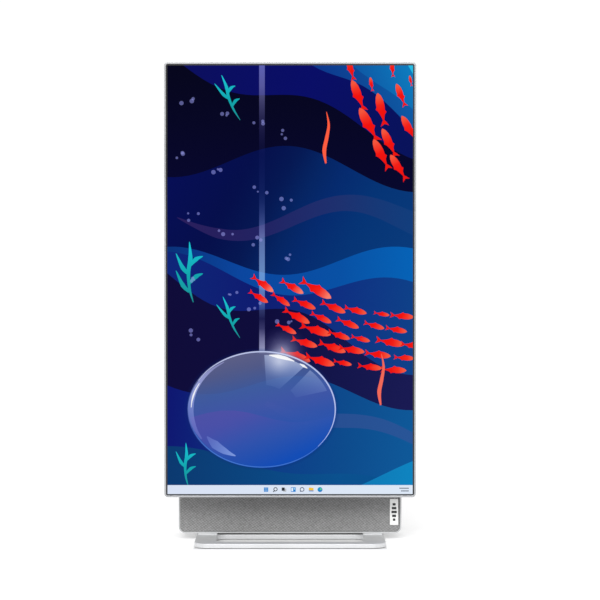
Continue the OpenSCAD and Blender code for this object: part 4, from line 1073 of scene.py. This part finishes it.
# Weed: a stem with tapering blades to either side, drawn once in mm and set at four places
def weed(u, v, size, lean, blades):
    """One sprig whose stem starts at a place and leans."""
    def at(x, z):
        return spot(u, v) + size * Vector((x + lean * z, z))
    paint = wash([(0, "#19C6D8", 1), (0.55, "#0FA5AC", 1), (1, "#1C8F96", 1)],
                 (0, v - 62 * size / view_tall), (0, v))
    ribbon([at(4, 0), at(0, 15), at(-1, 32), at(1, 46), at(0, 63)],
           [w * size for w in (0.6, 2.8, 4.0, 4.6, 0.5)], paint)
    for blade in range(blades):
        side = (-1) ** blade
        height = 38 - 9 * blade
        ribbon([at(0, height), at(7 * side, height + 7),
                at(14 * side, height + 10 + 12 * (blade % 2))],
               [w * size for w in (3.0, 4.6, 0.6)], paint)


for u, v, size, lean, blades in ((0.285, 0.127, 1.0, -0.35, 3), (0.09, 0.552, 1.35, 0.0, 4),
                                 (0.285, 0.635, 0.92, -0.35, 3), (0.075, 0.985, 1.0, 0.0, 3)):
    weed(u, v, size, lean, blades)

# Fish: one plain shape, with its head at the front, a fin above and below and a forked tail
FISH = ((0.5, 0), (0.46, 0.045), (0.38, 0.085), (0.24, 0.12), (0.1, 0.125), (0.03, 0.16),
        (-0.04, 0.105), (-0.16, 0.06), (-0.31, 0.02), (-0.39, 0.07), (-0.49, 0.13), (-0.455, 0.05),
        (-0.43, 0.0), (-0.46, -0.06), (-0.5, -0.12), (-0.39, -0.07), (-0.31, -0.02), (-0.17, -0.06),
        (-0.09, -0.135), (-0.03, -0.1), (0.12, -0.12), (0.28, -0.11), (0.4, -0.075), (0.47, -0.03))


def swim(u, v, long, turn, head):
    """One fish of a length in mm, its head turned up from the right by an angle in degrees."""
    cos, sin = math.cos(math.radians(turn)), math.sin(math.radians(turn))
    outline = [spot(u, v) + long * Vector((x * cos - y * sin, x * sin + y * cos))
               for x, y in FISH]
    half = (long * 0.4 * cos / view_wide, -long * 0.4 * sin / view_tall)
    lay(outline, wash([(0, "#E8140C", 1), (0.55, "#F2100A", 1), (1, head, 1)],
                      (u - half[0], v - half[1]), (u + half[0], v + half[1])))


# Two schools in loose rows: one climbs in the bright corner, one crosses below the middle
chance = random.Random(5)
for row in range(4):
    for place in range(4):
        u, v = 0.745 + 0.04 * row + 0.082 * place, 0.006 + 0.068 * row + 0.033 * (place % 2)
        if u < 1.02:
            swim(u + chance.uniform(-0.008, 0.008), v + chance.uniform(-0.006, 0.006),
                 (30 if row == 0 else 50) - 5 * place + chance.uniform(-5, 5),
                 100 + 7 * row + chance.uniform(-6, 6), "#F4583E")
for row in range(6):
    for place in range(8):
        u, v = 0.40 - 0.035 * row + 0.10 * place, 0.508 + 0.029 * row + 0.008 * place
        if 0.35 < u < 1.01 and (row < 2 or place > row / 2) and (row > 0 or place < 3):
            swim(u + chance.uniform(-0.012, 0.012), v + chance.uniform(-0.003, 0.003),
                 (39 if place < 5 else 30) + chance.uniform(-8, 12),
                 -34 + 4 * place + chance.uniform(-5, 5),
                 "#F8806C" if row == 0 else "#F4583E")

# Two ribbons of coral weed
coral = wash([(0, "#FF5A3C", 1), (1, "#F06A5A", 1)], (0, 0.1), (0, 0.8))
for u, v in ((0.648, 0.108), (0.872, 0.672)):
    ribbon([spot(u + 0.009 * math.sin(1.5 * step), v + 0.03 * step) for step in range(5)],
           (0.6, 3.4, 5.0, 5.6, 2.0), coral)

# Small air bubbles, in loose groups of three
for group in range(17):
    u = 0.05 + 0.14 * (group % 4) + chance.uniform(0, 0.08)
    v = 0.07 + 0.035 * group + chance.uniform(-0.01, 0.01)
    for _ in range(3):
        disc(u + chance.uniform(-0.03, 0.03), v + chance.uniform(-0.016, 0.016),
             chance.uniform(1.3, 3.2), flat("#8E92D8", 0.62))

# A large glass bubble: round, empty, smoky above and clear blue below
ball_u, ball_v, ball = 0.385, 0.802, 86


def arc(first, last, radius, steps=9):
    """Places on a ring inside the bubble, between two angles in degrees."""
    turns = [math.radians(first + (last - first) * i / (steps - 1)) for i in range(steps)]
    return [spot(ball_u, ball_v) + radius * ball * Vector((1.22 * math.cos(a), 0.96 * math.sin(a)))
            for a in turns]


for grow, strength in ((1.045, 0.10), (1.025, 0.12), (1.01, 0.14)):
    lay(arc(0, 354, grow, 60), flat("#0A2A70", strength))
glow(0.47, 0.668, 38, "#C8C8E6", 0.7)
lay(arc(0, 354, 1, 60),
    wash([(0, "#6E6C8C", 0.88), (0.18, "#5C6490", 0.86), (0.33, "#4662A4", 0.86),
          (0.5, "#4458AA", 0.9), (0.72, "#2A54AE", 0.94), (1, "#0A46B0", 0.96)],
         (0.3, 0.654), (0.42, 0.945)))
waterline = [spot(0.66 - 0.055 * i, 0.818 + 0.014 * math.sin(0.63 * i)) for i in range(11)]
lay(arc(188, 352, 0.97, 24) + waterline,
    wash([(0, "#5A4CA8", 0.5), (0.6, "#3A56B0", 0.3), (1, "#0E50BE", 0.5)], (0.3, 0.82), (0.42, 0.945)))
# The window of the sky shows in the glass as two pale facets
for first, last, near, strength in ((52, 88, 0.42, 0.75), (20, 46, 0.5, 0.55)):
    lay(arc(first, last, 0.93) + arc(last - 6, first + 4, near),
        wash([(0, "#E6EEFF", strength), (0.4, "#A9BCE8", strength * 0.6), (1, "#6E8AC8", 0.1)],
             (0.50, 0.67), (0.45, 0.76)))
glow(0.455, 0.690, 26, "#EEF2FF", 0.55)
# Highlights run along its rim
ribbon(arc(212, 122, 0.955), (2, 7, 8, 6, 4, 1),
       wash([(0, "#6E7CD0", 0.35), (0.5, "#AEB6EE", 0.75), (1, "#9A98CC", 0.5)],
            (0.07, 0.87), (0.3, 0.67)))
ribbon(arc(178, 152, 0.95, 5), (0.8, 2.4, 0.8), flat("#FFFFFF", 0.85))
ribbon(arc(150, -40, 0.985, 20), (0.6, 1.8, 2.0, 2.0, 1.6, 0.6), flat("#CCD6FA", 0.85))
ribbon(arc(200, 330, 0.985, 20), (0.4, 1.3, 1.4, 1.3, 0.4), flat("#6FA0F0", 0.5))
ribbon(arc(84, 62, 0.93, 5), (0.8, 5.4, 4.6, 0.8), flat("#FFFFFF", 0.92))
ribbon(arc(57, 49, 0.93, 4), (0.8, 3.6, 0.8), flat("#FFFFFF", 0.92))
ribbon(arc(212, 246, 0.87, 6), (1.0, 12.0, 9.0, 1.0),
       wash([(0, "#8CA0E8", 0.15), (0.7, "#9CB2F0", 0.6), (1, "#AEC4F6", 0.75)],
            (0.11, 0.885), (0.29, 0.925)))

# The bar at the bottom edge, its seven plain signs, and two strokes where a clock would be
bar_top = 0.979
band(before, beyond, bar_top, below, wash([(0, "#D9E2F4", 1), (1, "#DDE8F6", 1)], (0, 1), (1, 1)))
sign_v = 0.9895


def tile(u, dx, dz, wide, tall, code):
    """A small upright rectangle, set off in mm from a sign's middle."""
    x, z = spot(u, sign_v) + Vector((dx, dz))
    lay([Vector((x - wide / 2, z - tall / 2)), Vector((x + wide / 2, z - tall / 2)),
         Vector((x + wide / 2, z + tall / 2)), Vector((x - wide / 2, z + tall / 2))], flat(code))


for dx in (-2.1, 0, 2.1):
    for dz in (-2.1, 0, 2.1):
        tile(0.402, dx, dz, 1.9, 1.9, "#1E86D2")
disc(0.4405, sign_v - 0.0007, 2.9, flat("#2A323E"), 20)
disc(0.4405, sign_v - 0.0007, 1.8, flat("#E4ECF8"), 20)
ribbon([spot(0.436, 0.9925), spot(0.431, 0.9948)], (1.4, 1.4), flat("#2A323E"))
tile(0.475, 1.1, -0.8, 4.4, 4.6, "#B9BDC4")
tile(0.475, -1.1, 0.6, 4.2, 4.6, "#2E3238")
tile(0.513, 0, 0, 6.8, 6.4, "#1F84D4")
tile(0.513, -1.5, 0, 2.4, 4.6, "#E9F4FC")
tile(0.513, 1.6, 1.1, 1.9, 2.1, "#9ED8F4")
disc(0.549, sign_v - 0.0003, 3.2, flat("#454F6C"), 20)
disc(0.549, sign_v - 0.0003, 2.1, flat("#E4ECF8"), 20)
tile(0.549, -2.3, -2.4, 1.6, 1.2, "#54607C")
tile(0.586, -1.2, 2.0, 3.0, 1.6, "#E2A82A")
tile(0.586, 0, 0, 6.6, 4.8, "#F4C23A")
tile(0.586, 0, -1.9, 6.6, 1.4, "#3C86C8")
disc(0.622, sign_v, 3.5, wash([(0, "#18A0C8", 1), (1, "#1A6EC8", 1)], (0.61, 0.985), (0.63, 0.995)), 20)
disc(0.625, sign_v - 0.001, 1.5, flat("#5CD08C"), 14)
tile(0.965, 0, 1.9, 13.5, 1.4, "#6C7686")
tile(0.968, 0, -1.9, 11.0, 1.4, "#6C7686")

# The face is cut along every outline, and by a grid that lets the washes run smoothly
glass_corner = 2.2
glass_edge = []
for sx, sz, first in ((-1, -1, 180), (1, -1, 270), (1, 1, 0), (-1, 1, 90)):
    for step in range(6):
        a = math.radians(first + 18 * step)
        glass_edge.append(Vector((
            sx * (cell_high.x - glass_corner) + glass_corner * math.cos(a),
            pivot_z + sz * (cell_high.z - pivot_z - glass_corner) + glass_corner * math.sin(a))))
outlines = [glass_edge]
columns, rows = 26, 46
for i in range(columns):
    for j in range(rows):
        (u0, v0), (u1, v1) = [(a / columns * 1.04 - 0.02, b / rows * 1.04 - 0.02)
                              for a, b in ((i, j), (i + 1, j + 1))]
        outlines.append([spot(u0, v1), spot(u1, v1), spot(u1, v0), spot(u0, v0)])
painted_from = len(outlines)
outlines += [shape[0] for shape in shapes]
corners, loops = [], []
for outline in outlines:
    loops.append(list(range(len(corners), len(corners) + len(outline))))
    corners += outline
solved = delaunay_2d_cdt(corners, [], loops, 1, 1e-4)
places, pieces, owners = solved[0], solved[2], solved[5]
kept = [(piece, owner) for piece, owner in zip(pieces, owners) if 0 in owner]
screen_mesh = bpy.data.meshes.new("screen_glass")
screen_mesh.from_pydata([(p.x * MM, cell_low.y * MM, p.y * MM) for p in places], [],
                        [pair[0] for pair in kept])
colours = screen_mesh.color_attributes.new("picture", "FLOAT_COLOR", "CORNER")
tones = []
for piece, owner in kept:
    layers = [shapes[i - painted_from][1] for i in sorted(owner) if i >= painted_from]
    for index in piece:
        seen = [0.0, 0.0, 0.0]
        for paint in layers:
            *tone, strength = paint(places[index])
            seen = [a + (b - a) * strength for a, b in zip(seen, tone)]
        tones += linear(seen)
colours.data.foreach_set("color", tones)
screen = bpy.data.objects.new("screen_glass", screen_mesh)
bpy.context.collection.objects.link(screen)
edit(screen)
bpy.ops.mesh.select_mode(type="VERT")
bpy.ops.mesh.select_all(action="SELECT")
bpy.ops.mesh.delete_loose()
leave()
shape_with(screen, "SOLIDIFY", thickness=(cell_high.y - cell_low.y) * MM, offset=-1)

# Glass with an anti-glare film: the picture glows through it, and only a weak soft gloss lies over it.
screen_glass = bpy.data.materials.new("anti_glare_glass")
screen_glass.use_nodes = True
screen_shader = screen_glass.node_tree.nodes["Principled BSDF"]
picture = add(screen_glass, "ShaderNodeAttribute", attribute_name="picture")
etch_place = add(screen_glass, "ShaderNodeTexCoord").outputs["Object"]
etch = add(screen_glass, "ShaderNodeTexNoise", {"Vector": etch_place, "Scale": 1 / (0.8 * MM), "Detail": 2.0})
etch_gloss = add(screen_glass, "ShaderNodeMapRange",
                 {"Value": etch.outputs["Fac"], "To Min": 0.16, "To Max": 0.22})
screen_glass.node_tree.links.new(picture.outputs["Color"], screen_shader.inputs["Emission Color"])
screen_glass.node_tree.links.new(etch_gloss.outputs[0], screen_shader.inputs["Roughness"])
screen_shader.inputs["Emission Strength"].default_value = 1.0
screen_shader.inputs["Base Color"].default_value = linear("#020203")
screen_shader.inputs["Specular IOR Level"].default_value = 0.01
fit(screen, "screen_head", screen_glass, "screen_glass", "lcd_cell")
